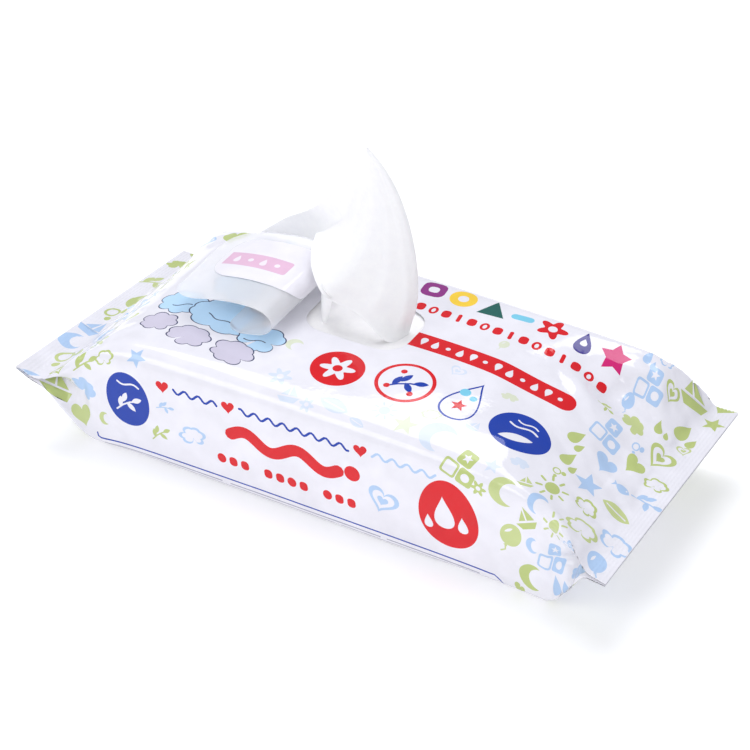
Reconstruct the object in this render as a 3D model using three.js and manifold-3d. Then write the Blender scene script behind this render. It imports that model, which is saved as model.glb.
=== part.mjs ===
// A soft flow-wrapped pack of wet wipes, opened: a printed film wrapper with two crimped end
// fins, a peel-back reseal label curled away from the dispensing opening, the folded stack of
// wipes inside, and the top wipe drawn up through the opening.
// Millimetres, +Z up. X runs along the pack from fin to fin, the front wall faces -Y.
// The origin is on the surface the pack lies on, under the middle of the pack.
import * as THREE from "three";
import { mergeVertices } from "three/addons/utils/BufferGeometryUtils.js";
import Module from "manifold-3d";

// ---------------------------------------------------------------- driving dimensions
const HALF_LENGTH = 127; // middle of the pack to the cut edge of an end fin
const CRIMP = 8; // width of a crimped end fin
const HALF_WIDTH = 50; // body half width, front wall to middle
const FIN_HALF_WIDTH = 61; // the flattened fins stand wider than the body
const FIN_Z_LEFT = 25; // height of the middle of the left fin
const FIN_Z_RIGHT = 25.5; // height of the middle of the right fin
const FIN_TILT_LEFT = 8; // rise of the left fin's front ear, fall of its back ear
const FIN_TILT_LEFT_ROOT = 3.2; // the same at the root of the front ear, which turns up from there
const FIN_TILT_RIGHT = 1.6;
const FIN_HALF_THICK = 0.5; // sealed film at the fins
const WALL = 0.8; // film wall as modelled
const STACK_INSET = 1.5; // stack below the film's outer face
const STACK_X = [-92, 62]; // ends of the folded stack
const OPENING = { x: -9, y: 8.25, halfLength: 22, halfWidth: 14.75, corner: 10 };
const WELL_DEPTH = 5.5; // the stack is dished under the opening
const LABEL_WIDTH = 52; // reseal label, across the pack
const LABEL_Y = 4; // its middle
const LABEL_END = -81; // its free end, laid back to the left
const LABEL_CORNER = 13;
const LABEL_THICK = 0.6;
const WIPE_THICK = 1.6; // the drawn wipe as modelled, two damp layers and their folds

// ---------------------------------------------------------------- small helpers
// Monotone cubic through (x, y) pairs, held flat outside them.
function curve(points) {
  const n = points.length,
    x = points.map((p) => p[0]),
    y = points.map((p) => p[1]);
  const d = [],
    m = new Array(n).fill(0);
  for (let i = 0; i < n - 1; i++) d.push((y[i + 1] - y[i]) / (x[i + 1] - x[i]));
  m[0] = d[0];
  m[n - 1] = d[n - 2];
  for (let i = 1; i < n - 1; i++) {
    if (d[i - 1] * d[i] <= 0) continue;
    const a = x[i] - x[i - 1],
      b = x[i + 1] - x[i],
      w1 = 2 * b + a,
      w2 = b + 2 * a;
    m[i] = (w1 + w2) / (w1 / d[i - 1] + w2 / d[i]);
  }
  return (t) => {
    if (t <= x[0]) return y[0];
    if (t >= x[n - 1]) return y[n - 1];
    let i = 0;
    while (t > x[i + 1]) i++;
    const h = x[i + 1] - x[i],
      s = (t - x[i]) / h;
    return (
      y[i] * (1 + 2 * s) * (1 - s) ** 2 +
      h * m[i] * s * (1 - s) ** 2 +
      y[i + 1] * s * s * (3 - 2 * s) +
      h * m[i + 1] * s * s * (s - 1)
    );
  };
}
const bezier = (a, b, c, t) => [
  a[0] * (1 - t) ** 2 + 2 * b[0] * t * (1 - t) + c[0] * t * t,
  a[1] * (1 - t) ** 2 + 2 * b[1] * t * (1 - t) + c[1] * t * t,
];

const wasm = await Module();
wasm.setup();
function solid(geometry) {
  const bare = geometry.index ? geometry.toNonIndexed() : geometry.clone();
  for (const name of Object.keys(bare.attributes))
    if (name !== "position") bare.deleteAttribute(name);
  const merged = mergeVertices(bare, 1e-3);
  return new wasm.Manifold(
    new wasm.Mesh({
      numProp: 3,
      vertProperties: merged.attributes.position.array,
      triVerts: new Uint32Array(merged.index.array),
    }),
  );
}
// A closed skin given as points and triangles, turned outside out where it needs to be.
function skin(xyz, tri) {
  const g = new THREE.BufferGeometry();
  g.setAttribute("position", new THREE.Float32BufferAttribute(xyz, 3));
  g.setIndex(tri);
  const s = solid(g);
  if (s.volume() > 0) return s;
  for (let q = 0; q < tri.length; q += 3)
    [tri[q + 1], tri[q + 2]] = [tri[q + 2], tri[q + 1]];
  g.setIndex(tri);
  return solid(g);
}
function geometryOf(manifold) {
  const mesh = manifold.getMesh();
  const g = new THREE.BufferGeometry();
  const xyz = new Float32Array((mesh.vertProperties.length / mesh.numProp) * 3);
  for (let i = 0; i < xyz.length / 3; i++)
    for (let k = 0; k < 3; k++)
      xyz[3 * i + k] = mesh.vertProperties[i * mesh.numProp + k];
  g.setAttribute("position", new THREE.BufferAttribute(xyz, 3));
  g.setIndex(new THREE.BufferAttribute(new Uint32Array(mesh.triVerts), 1));
  return g;
}
// A plan outline with rounded corners.
function roundedPlan(x0, x1, y0, y1, r, steps = 7) {
  const s = new THREE.Shape();
  const corners = [
    [x1 - r, y0 + r, -90],
    [x1 - r, y1 - r, 0],
    [x0 + r, y1 - r, 90],
    [x0 + r, y0 + r, 180],
  ];
  let first = true;
  for (const [cx, cy, a0] of corners)
    for (let i = 0; i <= steps; i++) {
      const a = ((a0 + (90 * i) / steps) * Math.PI) / 180;
      const x = cx + r * Math.cos(a),
        y = cy + r * Math.sin(a);
      first ? s.moveTo(x, y) : s.lineTo(x, y);
      first = false;
    }
  s.closePath();
  return s;
}

// ---------------------------------------------------------------- the film's shape along X
const ZL = FIN_Z_LEFT,
  ZR = FIN_Z_RIGHT,
  T = FIN_HALF_THICK,
  ROOT = HALF_LENGTH - CRIMP;
// height of the film over the middle of the pack
const topMiddle = curve([
  [-HALF_LENGTH, ZL + T],
  [-ROOT, ZL + T + 0.6],
  [-110, 32],
  [-103, 39],
  [-96, 45],
  [-86, 49.3],
  [-60, 52.4],
  [-20, 53.5],
  [20, 53.5],
  [46, 53],
  [62, 51.2],
  [77, 47.6],
  [92, 41],
  [106, 33.5],
  [ROOT, ZR + T + 0.8],
  [HALF_LENGTH, ZR + T],
]);
// height of the long top edges, front and back
const topFront = curve([
  [-HALF_LENGTH, ZL + T],
  [-ROOT, ZL + T + 0.6],
  [-111, 32],
  [-103, 40],
  [-94, 46],
  [-80, 49],
  [0, 50.5],
  [60, 50],
  [84, 47.5],
  [100, 42.5],
  [112, 34],
  [ROOT, ZR + T + 0.9],
  [HALF_LENGTH, ZR + T],
]);
const topBack = curve([
  [-HALF_LENGTH, ZL + T],
  [-ROOT, ZL + T + 0.6],
  [-112, 34],
  [-105, 40],
  [-97, 44],
  [-88, 47],
  [-74, 50],
  [0, 52.6],
  [56, 51.8],
  [88, 50.4],
  [100, 47],
  [112, 36],
  [ROOT, ZR + T + 0.9],
  [HALF_LENGTH, ZR + T],
]);
const halfWidth = curve([
  [-HALF_LENGTH, FIN_HALF_WIDTH],
  [-ROOT, 59.5],
  [-108, 54.5],
  [-98, 50.8],
  [-70, HALF_WIDTH],
  [70, HALF_WIDTH],
  [98, 50.8],
  [108, 54.5],
  [ROOT, 59.5],
  [HALF_LENGTH, FIN_HALF_WIDTH],
]);
const bottom = curve([
  [-HALF_LENGTH, ZL - T],
  [-ROOT, ZL - T - 0.6],
  [-109, 11],
  [-102, 2.2],
  [-98, 0],
  [98, 0],
  [102, 2],
  [110, 11],
  [ROOT, ZR - T - 0.6],
  [HALF_LENGTH, ZR - T],
]);
// the side walls bulge over the stack and tuck in towards the fins
const sideTuck = curve([
  [-ROOT, 0],
  [-111, -5],
  [-103, -4.5],
  [-95, -0.5],
  [-60, 1.2],
  [50, 1.2],
  [95, -0.5],
  [103, -4.5],
  [111, -5],
  [ROOT, 0],
]);
const roundFront = curve([
  [-HALF_LENGTH, 0.2],
  [-ROOT, 0.3],
  [-100, 6],
  [-80, 9],
  [60, 9],
  [97, 7],
  [ROOT, 0.3],
  [HALF_LENGTH, 0.2],
]);
const roundBack = curve([
  [-HALF_LENGTH, 0.2],
  [-ROOT, 0.3],
  [-100, 5],
  [-80, 6.5],
  [60, 6],
  [97, 5],
  [ROOT, 0.3],
  [HALF_LENGTH, 0.2],
]);
const BOTTOM_ROUND = 3;
// both fins are tilted: the front ear stands higher than the back ear
const tilt = curve([
  [-HALF_LENGTH, FIN_TILT_LEFT],
  [-ROOT, FIN_TILT_LEFT],
  [-99, 0],
  [99, 0],
  [ROOT, FIN_TILT_RIGHT],
  [HALF_LENGTH, FIN_TILT_RIGHT],
]);
// the front ear of the left fin also turns up from its root
const tiltFront = curve([
  [-HALF_LENGTH, FIN_TILT_LEFT],
  [-ROOT, FIN_TILT_LEFT_ROOT],
  [-99, 0],
  [99, 0],
  [ROOT, FIN_TILT_RIGHT],
  [HALF_LENGTH, FIN_TILT_RIGHT],
]);

// Half a cross-section, pulled in by d: from the middle of the top over the long edge and down
// the side to the middle of the bottom, as [distance from the middle, height].
function halfSection(x, d, edge, round) {
  const zm = topMiddle(x) - d,
    ze = edge(x) - d,
    w = halfWidth(x) - d,
    zb = bottom(x) + d,
    tuck = sideTuck(x),
    tall = Math.min(ze, zm) - zb;
  const r = Math.min(round(x), tall * 0.42),
    rb = Math.min(BOTTOM_ROUND, tall * 0.3);
  const top = (y) => zm + (ze - zm) * Math.pow(y / w, 2.6);
  const half = [];
  for (let i = 0; i <= 7; i++) {
    const y = ((w - r) * i) / 7;
    half.push([y, top(y)]);
  }
  const a = [w - r, top(w - r)],
    c = [w + tuck * 0.25, ze - r];
  for (const t of [0.3, 0.6, 1]) half.push(bezier(a, [w, ze], c, t));
  const e = [w + tuck * 0.2, zb + rb],
    m = [2 * (w + tuck) - (c[0] + e[0]) / 2, (c[1] + e[1]) / 2];
  for (const t of [0.25, 0.5, 0.75, 1]) half.push(bezier(c, m, e, t));
  const f = [w - rb, zb];
  for (const t of [0.5, 1]) half.push(bezier(e, [w, zb], f, t));
  for (const s of [0.75, 0.5, 0.25, 0]) half.push([(w - rb) * s, zb]);
  return half;
}
function section(x, d) {
  const front = halfSection(x, d, topFront, roundFront),
    back = halfSection(x, d, topBack, roundBack);
  const ring = front.map(([y, z]) => [x, -y, z]);
  for (let i = back.length - 2; i > 0; i--) ring.push([x, back[i][0], back[i][1]]);
  const k = tilt(x) / FIN_HALF_WIDTH,
    kf = tiltFront(x) / FIN_HALF_WIDTH;
  return ring.map(([px, y, z]) => [px, y, z - (y < 0 ? kf : k) * y]);
}
function body(stations, d) {
  const list = stations.map((x) => section(x, d)),
    n = list[0].length,
    xyz = [],
    tri = [];
  for (const ring of list) for (const p of ring) xyz.push(...p);
  for (let i = 0; i + 1 < list.length; i++)
    for (let j = 0; j < n; j++) {
      const a = i * n + j,
        b = i * n + ((j + 1) % n);
      tri.push(a, b, b + n, a, b + n, a + n);
    }
  for (const i of [0, list.length - 1]) {
    const ring = list[i],
      mid = xyz.length / 3;
    xyz.push(ring[0][0], 0, (ring[0][2] + ring[n / 2][2]) / 2);
    for (let j = 0; j < n; j++) {
      const a = i * n + j,
        b = i * n + ((j + 1) % n);
      i ? tri.push(a, b, mid) : tri.push(b, a, mid);
    }
  }
  return skin(xyz, tri);
}

const OUTER = [
  -127, -123, -119, -115, -111, -107, -103, -98, -92, -86, -76, -60, -40, -20,
  0, 20, 38, 50, 60, 70, 80, 90, 98, 103, 107, 111, 115, 119, 123, 127,
];
const INNER = [
  -112, -108, -103, -98, -92, -86, -76, -60, -40, -20, 0, 20, 38, 50, 60, 70,
  80, 90, 98, 103, 108, 112,
];

// ---------------------------------------------------------------- film wrapper
// die-cut dispensing opening in the top
const openingCutter = new THREE.ExtrudeGeometry(
  roundedPlan(
    OPENING.x - OPENING.halfLength,
    OPENING.x + OPENING.halfLength,
    OPENING.y - OPENING.halfWidth,
    OPENING.y + OPENING.halfWidth,
    OPENING.corner,
  ),
  { depth: 30, bevelEnabled: false },
).translate(0, 0, 42);
const film = body(OUTER, 0)
  .subtract(body(INNER, WALL))
  .subtract(solid(openingCutter));

// ---------------------------------------------------------------- folded stack of wipes
const clip = new THREE.BoxGeometry(STACK_X[1] - STACK_X[0], 200, 200).translate(
  (STACK_X[0] + STACK_X[1]) / 2,
  0,
  60,
);
// the wipes are drawn down into a shallow well under the opening
const well = new THREE.SphereGeometry(1, 24, 12)
  .scale(OPENING.halfLength + 8, OPENING.halfWidth + 7, WELL_DEPTH)
  .translate(OPENING.x, OPENING.y, topMiddle(OPENING.x) - STACK_INSET + 0.6);
const stack = body(INNER, STACK_INSET).intersect(solid(clip)).subtract(solid(well));

// ---------------------------------------------------------------- reseal label
// A strip in side view: stuck down to the left of the opening, curled up and laid back.
const zf = topMiddle(-44) + 0.35;
const labelPath = [
  [-55, topMiddle(-55) + 0.4],
  [-48, topMiddle(-48) + 0.45],
  [-42, zf + 0.7],
  [-36.6, zf + 2.5],
  [-33.5, zf + 5.7],
  [-33.2, zf + 9],
  [-35.6, zf + 11.8],
  [-40, zf + 13],
  [-48, zf + 13.1],
  [-57, zf + 12.3],
  [-66, zf + 10.6],
  [-74, zf + 8.2],
  [LABEL_END, zf + 5.5],
];
function strip(path, thick) {
  const pts = new THREE.SplineCurve(
    path.map(([x, z]) => new THREE.Vector2(x, z)),
  ).getPoints(39);
  const left = [],
    right = [];
  pts.forEach((q, i) => {
    const a = pts[Math.max(0, i - 1)],
      b = pts[Math.min(pts.length - 1, i + 1)];
    const t = new THREE.Vector2().subVectors(b, a).normalize();
    left.push([q.x - (t.y * thick) / 2, q.y + ((t.x + 1) * thick) / 2]);
    right.push([q.x + (t.y * thick) / 2, q.y - ((t.x - 1) * thick) / 2]);
  });
  const s = new THREE.Shape();
  [...left, ...right.reverse()].forEach(([x, z], i) =>
    i ? s.lineTo(x, z) : s.moveTo(x, z),
  );
  s.closePath();
  return s;
}
const labelBack = LABEL_Y + LABEL_WIDTH / 2,
  labelFront = LABEL_Y - LABEL_WIDTH / 2;
const labelStrip = new THREE.ExtrudeGeometry(strip(labelPath, LABEL_THICK), {
  depth: LABEL_WIDTH,
  bevelEnabled: false,
})
  .rotateX(Math.PI / 2) // drawn in XZ, extruded along Y
  .translate(0, labelBack, 0);
// rounded corners at the free end, cut in plan
const labelPlan = new THREE.ExtrudeGeometry(
  roundedPlan(LABEL_END, 10, labelFront, labelBack, LABEL_CORNER),
  { depth: 60, bevelEnabled: false },
).translate(0, 0, 30);
const label = solid(labelStrip).intersect(solid(labelPlan));

// ---------------------------------------------------------------- drawn wipe
// A sail: its foot runs from the left lobe behind the label, over the label's curl, along the
// free arch at the front and down into the opening; its two sides meet at the raised corner.
const line = (points) =>
  new THREE.CatmullRomCurve3(
    points.map((p) => new THREE.Vector3(...p)),
    false,
    "centripetal",
  );
const wipeFoot = line([
  [-79, 43.4, 51.2],
  [-68, 44, 53.6],
  [-58, 42, 56],
  [-50, 37.5, 60.5],
  [-44.5, 32, 68.4],
  [-37.5, 17, 71.8],
  [-29.5, 4.2, 71.5],
  [-22, -1, 66.5],
  [-16, 0.6, 62.6],
  [-9.7, 1.9, 60.5],
  [-2.4, 1.4, 57],
  [2.2, 1, 53.4],
  [5.4, 3, 50.4],
  [8, 6.5, 50],
  [9.4, 10.5, 50],
]);
const wipeLeft = line([
  [-79, 43.4, 51.2],
  [-72.2, 43.6, 57.2],
  [-64.4, 42.5, 64.2],
  [-56.2, 40.5, 70.3],
  [-48.3, 37.5, 77.2],
  [-39.3, 34, 87.5],
  [-29.6, 29, 101],
  [-22.9, 25, 112.8],
  [-17.7, 22.4, 121.2],
]);
const wipeRight = line([
  [9.4, 10.5, 50],
  [10.8, 10.4, 56],
  [12.2, 11, 63],
  [11.3, 13, 71.6],
  [8.8, 15, 81],
  [5, 17, 90.9],
  [0.4, 19, 100],
  [-4.8, 20.5, 108.7],
  [-10.9, 21.5, 116.5],
  [-15.9, 22, 121.4],
]);
function sheet(foot, left, right, thick) {
  const cols = 30,
    rows = 24,
    grid = [];
  const a = foot.getPoint(0),
    b = foot.getPoint(1);
  for (let i = 0; i <= rows; i++) {
    const t = i / rows,
      l = left.getPoint(t),
      r = right.getPoint(t),
      row = [];
    for (let j = 0; j <= cols; j++) {
      const s = j / cols;
      const sag = foot
        .getPoint(s)
        .sub(a.clone().lerp(b, s))
        .multiplyScalar(Math.pow(1 - t, 1.7));
      const p = l.clone().lerp(r, s).add(sag);
      p.y -= 3 * Math.sin(Math.PI * s) * Math.sin(Math.PI * t); // the sail fills forward
      row.push(p);
    }
    grid.push(row);
  }
  const at = (i, j) =>
    grid[Math.max(0, Math.min(rows, i))][Math.max(0, Math.min(cols, j))];
  const xyz = [],
    tri = [],
    id = (k, i, j) => k * (rows + 1) * (cols + 1) + i * (cols + 1) + j;
  for (const k of [0, 1])
    for (let i = 0; i <= rows; i++)
      for (let j = 0; j <= cols; j++) {
        const du = new THREE.Vector3().subVectors(at(i, j + 1), at(i, j - 1)),
          dv = new THREE.Vector3().subVectors(at(i + 1, j), at(i - 1, j));
        const n = new THREE.Vector3().crossVectors(du, dv).normalize();
        const p = at(i, j).clone().addScaledVector(n, (k ? 0.5 : -0.5) * thick);
        xyz.push(p.x, p.y, p.z);
      }
  const quad = (p, q, r, s) => tri.push(p, q, r, p, r, s);
  for (let i = 0; i < rows; i++)
    for (let j = 0; j < cols; j++) {
      quad(id(1, i, j), id(1, i, j + 1), id(1, i + 1, j + 1), id(1, i + 1, j));
      quad(id(0, i, j), id(0, i + 1, j), id(0, i + 1, j + 1), id(0, i, j + 1));
    }
  for (let j = 0; j < cols; j++) {
    quad(id(0, 0, j), id(0, 0, j + 1), id(1, 0, j + 1), id(1, 0, j));
    quad(id(1, rows, j), id(1, rows, j + 1), id(0, rows, j + 1), id(0, rows, j));
  }
  for (let i = 0; i < rows; i++) {
    quad(id(1, i, 0), id(1, i + 1, 0), id(0, i + 1, 0), id(0, i, 0));
    quad(id(0, i, cols), id(0, i + 1, cols), id(1, i + 1, cols), id(1, i, cols));
  }
  return skin(xyz, tri);
}
const wipe = sheet(wipeFoot, wipeLeft, wipeRight, WIPE_THICK);

// ---------------------------------------------------------------- the scene graph
const part = new THREE.Group();
part.name = "wet_wipes_pack";
function add(name, manifold, color, roughness, extra = {}) {
  const mesh = new THREE.Mesh(
    geometryOf(manifold),
    new THREE.MeshStandardMaterial({ color, roughness, metalness: 0, ...extra }),
  );
  mesh.name = name;
  part.add(mesh);
}
add("film_wrapper", film, 0xf4f4f8, 0.22);
add("wipe_stack", stack, 0xf3f2ee, 0.9);
add("reseal_label", label, 0xe6e6f2, 0.4, { transparent: true, opacity: 0.7 });
add("drawn_wipe", wipe, 0xfafafa, 0.95);

export default part;
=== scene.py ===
import math

import bpy
import numpy as np
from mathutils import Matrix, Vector
from mathutils.geometry import delaunay_2d_cdt
from mathutils.kdtree import KDTree


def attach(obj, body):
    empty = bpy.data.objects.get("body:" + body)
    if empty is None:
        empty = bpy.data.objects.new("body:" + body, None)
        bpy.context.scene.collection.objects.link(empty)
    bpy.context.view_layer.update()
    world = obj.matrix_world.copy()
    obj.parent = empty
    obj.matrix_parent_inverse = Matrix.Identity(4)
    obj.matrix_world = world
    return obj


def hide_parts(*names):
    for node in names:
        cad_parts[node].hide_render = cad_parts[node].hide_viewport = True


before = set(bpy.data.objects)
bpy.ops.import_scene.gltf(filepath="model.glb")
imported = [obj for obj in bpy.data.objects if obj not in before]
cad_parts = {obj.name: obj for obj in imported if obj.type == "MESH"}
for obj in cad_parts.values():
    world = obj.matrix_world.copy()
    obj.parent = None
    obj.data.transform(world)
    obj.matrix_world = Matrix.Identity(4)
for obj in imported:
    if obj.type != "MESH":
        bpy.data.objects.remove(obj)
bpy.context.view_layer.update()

MM = 0.001
RNG = np.random.default_rng(11)

# ------------------------------------------------------------------ curves and grids


def curve(points):
    """Monotone cubic through (x, y) pairs, held flat outside them."""
    p = np.array(points, float)
    x, y = p[:, 0], p[:, 1]
    h = np.diff(x)
    d = np.diff(y) / h
    m = np.zeros_like(y)
    m[0], m[-1] = d[0], d[-1]
    for i in range(1, len(x) - 1):
        if d[i - 1] * d[i] > 0:
            w1, w2 = 2 * h[i] + h[i - 1], h[i] + 2 * h[i - 1]
            m[i] = (w1 + w2) / (w1 / d[i - 1] + w2 / d[i])

    def f(t):
        t = np.clip(np.asarray(t, float), x[0], x[-1])
        i = np.clip(np.searchsorted(x, t, side="right") - 1, 0, len(x) - 2)
        s = (t - x[i]) / h[i]
        return (
            y[i] * (1 + 2 * s) * (1 - s) ** 2
            + h[i] * m[i] * s * (1 - s) ** 2
            + y[i + 1] * s * s * (3 - 2 * s)
            + h[i] * m[i + 1] * s * s * (s - 1)
        )

    return f


def smooth(a, b, t):
    t = np.clip((np.asarray(t, float) - a) / (b - a), 0, 1)
    return t * t * (3 - 2 * t)


def spline(points, n):
    """n points, evenly spaced, on a centripetal Catmull-Rom curve through the points."""
    p = np.array(points, float)
    p = np.vstack([2 * p[0] - p[1], p, 2 * p[-1] - p[-2]])
    out = []
    for i in range(1, len(p) - 2):
        p0, p1, p2, p3 = p[i - 1 : i + 3]
        k = [0.0]
        for a, b in ((p0, p1), (p1, p2), (p2, p3)):
            k.append(k[-1] + max(np.linalg.norm(b - a), 1e-9) ** 0.5)
        t = np.linspace(k[1], k[2], 24, endpoint=False)[:, None]
        a1 = (k[1] - t) / (k[1] - k[0]) * p0 + (t - k[0]) / (k[1] - k[0]) * p1
        a2 = (k[2] - t) / (k[2] - k[1]) * p1 + (t - k[1]) / (k[2] - k[1]) * p2
        a3 = (k[3] - t) / (k[3] - k[2]) * p2 + (t - k[2]) / (k[3] - k[2]) * p3
        b1 = (k[2] - t) / (k[2] - k[0]) * a1 + (t - k[0]) / (k[2] - k[0]) * a2
        b2 = (k[3] - t) / (k[3] - k[1]) * a2 + (t - k[1]) / (k[3] - k[1]) * a3
        out.append((k[2] - t) / (k[2] - k[1]) * b1 + (t - k[1]) / (k[2] - k[1]) * b2)
    out = np.vstack(out + [p[-2:-1]])
    return resample(out, n)


def resample(line, n):
    """n evenly spaced points along a polyline."""
    along = np.concatenate([[0], np.cumsum(np.linalg.norm(np.diff(line, axis=0), axis=1))])
    at = np.linspace(0, along[-1], n)
    return np.stack([np.interp(at, along, line[:, k]) for k in range(line.shape[1])], 1)


def noise2(shape, cells, seed):
    """Smooth value noise on a grid, about -1 to 1, periodic along the second axis."""
    r = np.random.default_rng(seed)
    a, b = cells
    g = r.uniform(-1, 1, (a + 3, b))
    i = np.linspace(0, a, shape[0])
    j = np.arange(shape[1]) / shape[1] * b
    i0, j0 = np.floor(i).astype(int), np.floor(j).astype(int)
    fi, fj = (i - i0)[:, None], (j - j0)[None, :]

    def w(t):
        return [
            0.5 * (-t + 2 * t**2 - t**3),
            0.5 * (2 - 5 * t**2 + 3 * t**3),
            0.5 * (t + 4 * t**2 - 3 * t**3),
            0.5 * (-(t**2) + t**3),
        ]

    wi, wj = w(fi), w(fj)
    out = np.zeros(shape)
    for p in range(4):
        for q in range(4):
            out += (
                wi[p]
                * wj[q]
                * g[np.clip(i0 + p, 0, a + 2)[:, None], ((j0 + q - 1) % b)[None, :]]
            )
    return out


# ------------------------------------------------------------------ the film's shape, mm
# the same dimensions as the CAD film
HALF, ROOT, FINW = 127.0, 119.0, 61.0
ZL, ZR, TF = 25.0, 25.5, 0.42
top_middle = curve([(-HALF, ZL + TF), (-ROOT, ZL + TF + 0.6), (-110, 32), (-103, 39), (-96, 45), (-86, 49.3), (-60, 52.4), (-20, 53.5), (20, 53.5), (46, 53), (62, 51.2), (77, 47.6), (92, 41), (106, 33.5), (ROOT, ZR + TF + 0.8), (HALF, ZR + TF)])
top_front = curve([(-HALF, ZL + TF), (-ROOT, ZL + TF + 0.6), (-111, 32), (-103, 40), (-94, 46), (-80, 49), (0, 50.5), (60, 50), (84, 47.5), (100, 42.5), (112, 34), (ROOT, ZR + TF + 0.9), (HALF, ZR + TF)])
top_back = curve([(-HALF, ZL + TF), (-ROOT, ZL + TF + 0.6), (-112, 34), (-105, 40), (-97, 44), (-88, 47), (-74, 50), (0, 52.6), (56, 51.8), (88, 50.4), (100, 47), (112, 36), (ROOT, ZR + TF + 0.9), (HALF, ZR + TF)])
half_width = curve([(-HALF, FINW), (-ROOT, 59.5), (-108, 54.5), (-98, 50.8), (-70, 50), (70, 50), (98, 50.8), (108, 54.5), (ROOT, 59.5), (HALF, FINW)])
bottom = curve([(-HALF, ZL - TF), (-ROOT, ZL - TF - 0.6), (-109, 11), (-102, 2.2), (-98, 0), (98, 0), (102, 2), (110, 11), (ROOT, ZR - TF - 0.6), (HALF, ZR - TF)])
side_tuck = curve([(-HALF, -12.5), (-ROOT, -12), (-111, -8), (-104, -3), (-97, 0), (-60, 1.2), (50, 1.2), (94, 0.4), (104, -3), (111, -8), (ROOT, -12), (HALF, -12.5)])
crease = curve([(-HALF, 1), (-106, 1), (-97, 0), (97, 0), (106, 1), (HALF, 1)])
round_front = curve([(-HALF, 0.15), (-ROOT, 0.3), (-104, 4), (-80, 9), (60, 9), (97, 6), (108, 2), (ROOT, 0.3), (HALF, 0.15)])
round_back = curve([(-HALF, 0.15), (-ROOT, 0.3), (-104, 3), (-80, 6.5), (60, 6), (97, 4), (108, 2), (ROOT, 0.3), (HALF, 0.15)])
tilt = curve([(-HALF, 8.0), (-ROOT, 8.0), (-99, 0), (99, 0), (ROOT, 1.6), (HALF, 1.6)])
tilt_front = curve([(-HALF, 8.0), (-ROOT, 3.2), (-99, 0), (99, 0), (ROOT, 1.6), (HALF, 1.6)])
# film length beyond x on the sloping ends, so that print keeps its size there
extra = curve([(0, 0), (84, 0), (100, 3.2), (112, 7.4), (ROOT, 9), (HALF, 9)])
HALF_U = HALF + 9.0
HALF_V = 150.0
_x = np.linspace(0, HALF, 1200)
_u = _x + extra(_x)


def x_of_u(u):
    u = np.asarray(u, float)
    return np.sign(u) * np.interp(np.abs(u), _u, _x)


def half_section(x, edge, rounding, n=400):
    """Half a cross-section from the top middle to the bottom middle, evenly spaced by length."""
    zm, ze, w, zb, tk = (float(f(x)) for f in (top_middle, edge, half_width, bottom, side_tuck))
    k = float(crease(x))
    tall = max(min(ze, zm) - zb, 0.2)
    r, rb = min(float(rounding(x)), tall * 0.42), min(3.0, tall * 0.3)

    def top(y):
        return zm + (ze - zm) * (y / w) ** 2.6

    def bez(a, b, c, m):
        t = np.linspace(0, 1, m)[:, None]
        a, b, c = (np.array(q) for q in (a, b, c))
        return a * (1 - t) ** 2 + 2 * b * t * (1 - t) + c * t * t

    y = np.linspace(0, w - r, 40)
    a, c, e = (w - r, top(w - r)), (w + tk * 0.04, ze - r), (w + tk * 0.03, zb + rb)
    m = (w + tk, (c[1] + e[1]) / 2)
    ctrl = (2 * m[0] - (c[0] + e[0]) / 2, m[1])
    side = bez(c, ctrl, e, 41)
    t = np.linspace(0, 1, 41)[:, None]
    sharp = np.where(t < 0.5, np.array(c) + (np.array(m) - c) * t * 2, np.array(m) + (np.array(e) - m) * (t - 0.5) * 2)
    line = np.vstack(
        [
            np.stack([y, top(y)], 1),
            bez(a, (w, ze), c, 14)[1:],
            ((1 - k) * side + k * sharp)[1:],
            bez(e, (w, zb), (w - rb, zb), 10)[1:],
            np.stack([np.linspace(w - rb, 0, 30), np.full(30, zb)], 1)[1:],
        ]
    )
    return resample(line, n)


NU, NV = 137, 150
US = np.linspace(-HALF_U, HALF_U, NU)
VS = -HALF_V + np.arange(NV) * (2 * HALF_V / NV)


def base_grid():
    g = np.zeros((NU, NV, 3))
    for i, u in enumerate(US):
        x = float(x_of_u(u))
        kb, kf = float(tilt(x)) / FINW, float(tilt_front(x)) / FINW
        f, b = half_section(x, top_front, round_front), half_section(x, top_back, round_back)
        s = np.abs(VS) / HALF_V * (len(f) - 1)
        for side, half in ((VS >= 0, f), (VS < 0, b)):
            q = s[side]
            y = np.interp(q, np.arange(len(half)), half[:, 0])
            z = np.interp(q, np.arange(len(half)), half[:, 1])
            y = np.where(VS[side] >= 0, -y, y)
            g[i, side] = np.stack([np.full(len(q), x), y, z - (kf + (kb - kf) * smooth(-14, 6, y)) * y], 1)
    return g


def bump(x, y, cx, cy, sx, sy, turn=0.0):
    a = math.radians(turn)
    p, q = (x - cx) * math.cos(a) + (y - cy) * math.sin(a), -(x - cx) * math.sin(a) + (y - cy) * math.cos(a)
    return np.exp(-((p / sx) ** 2) - (q / sy) ** 2)


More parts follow.
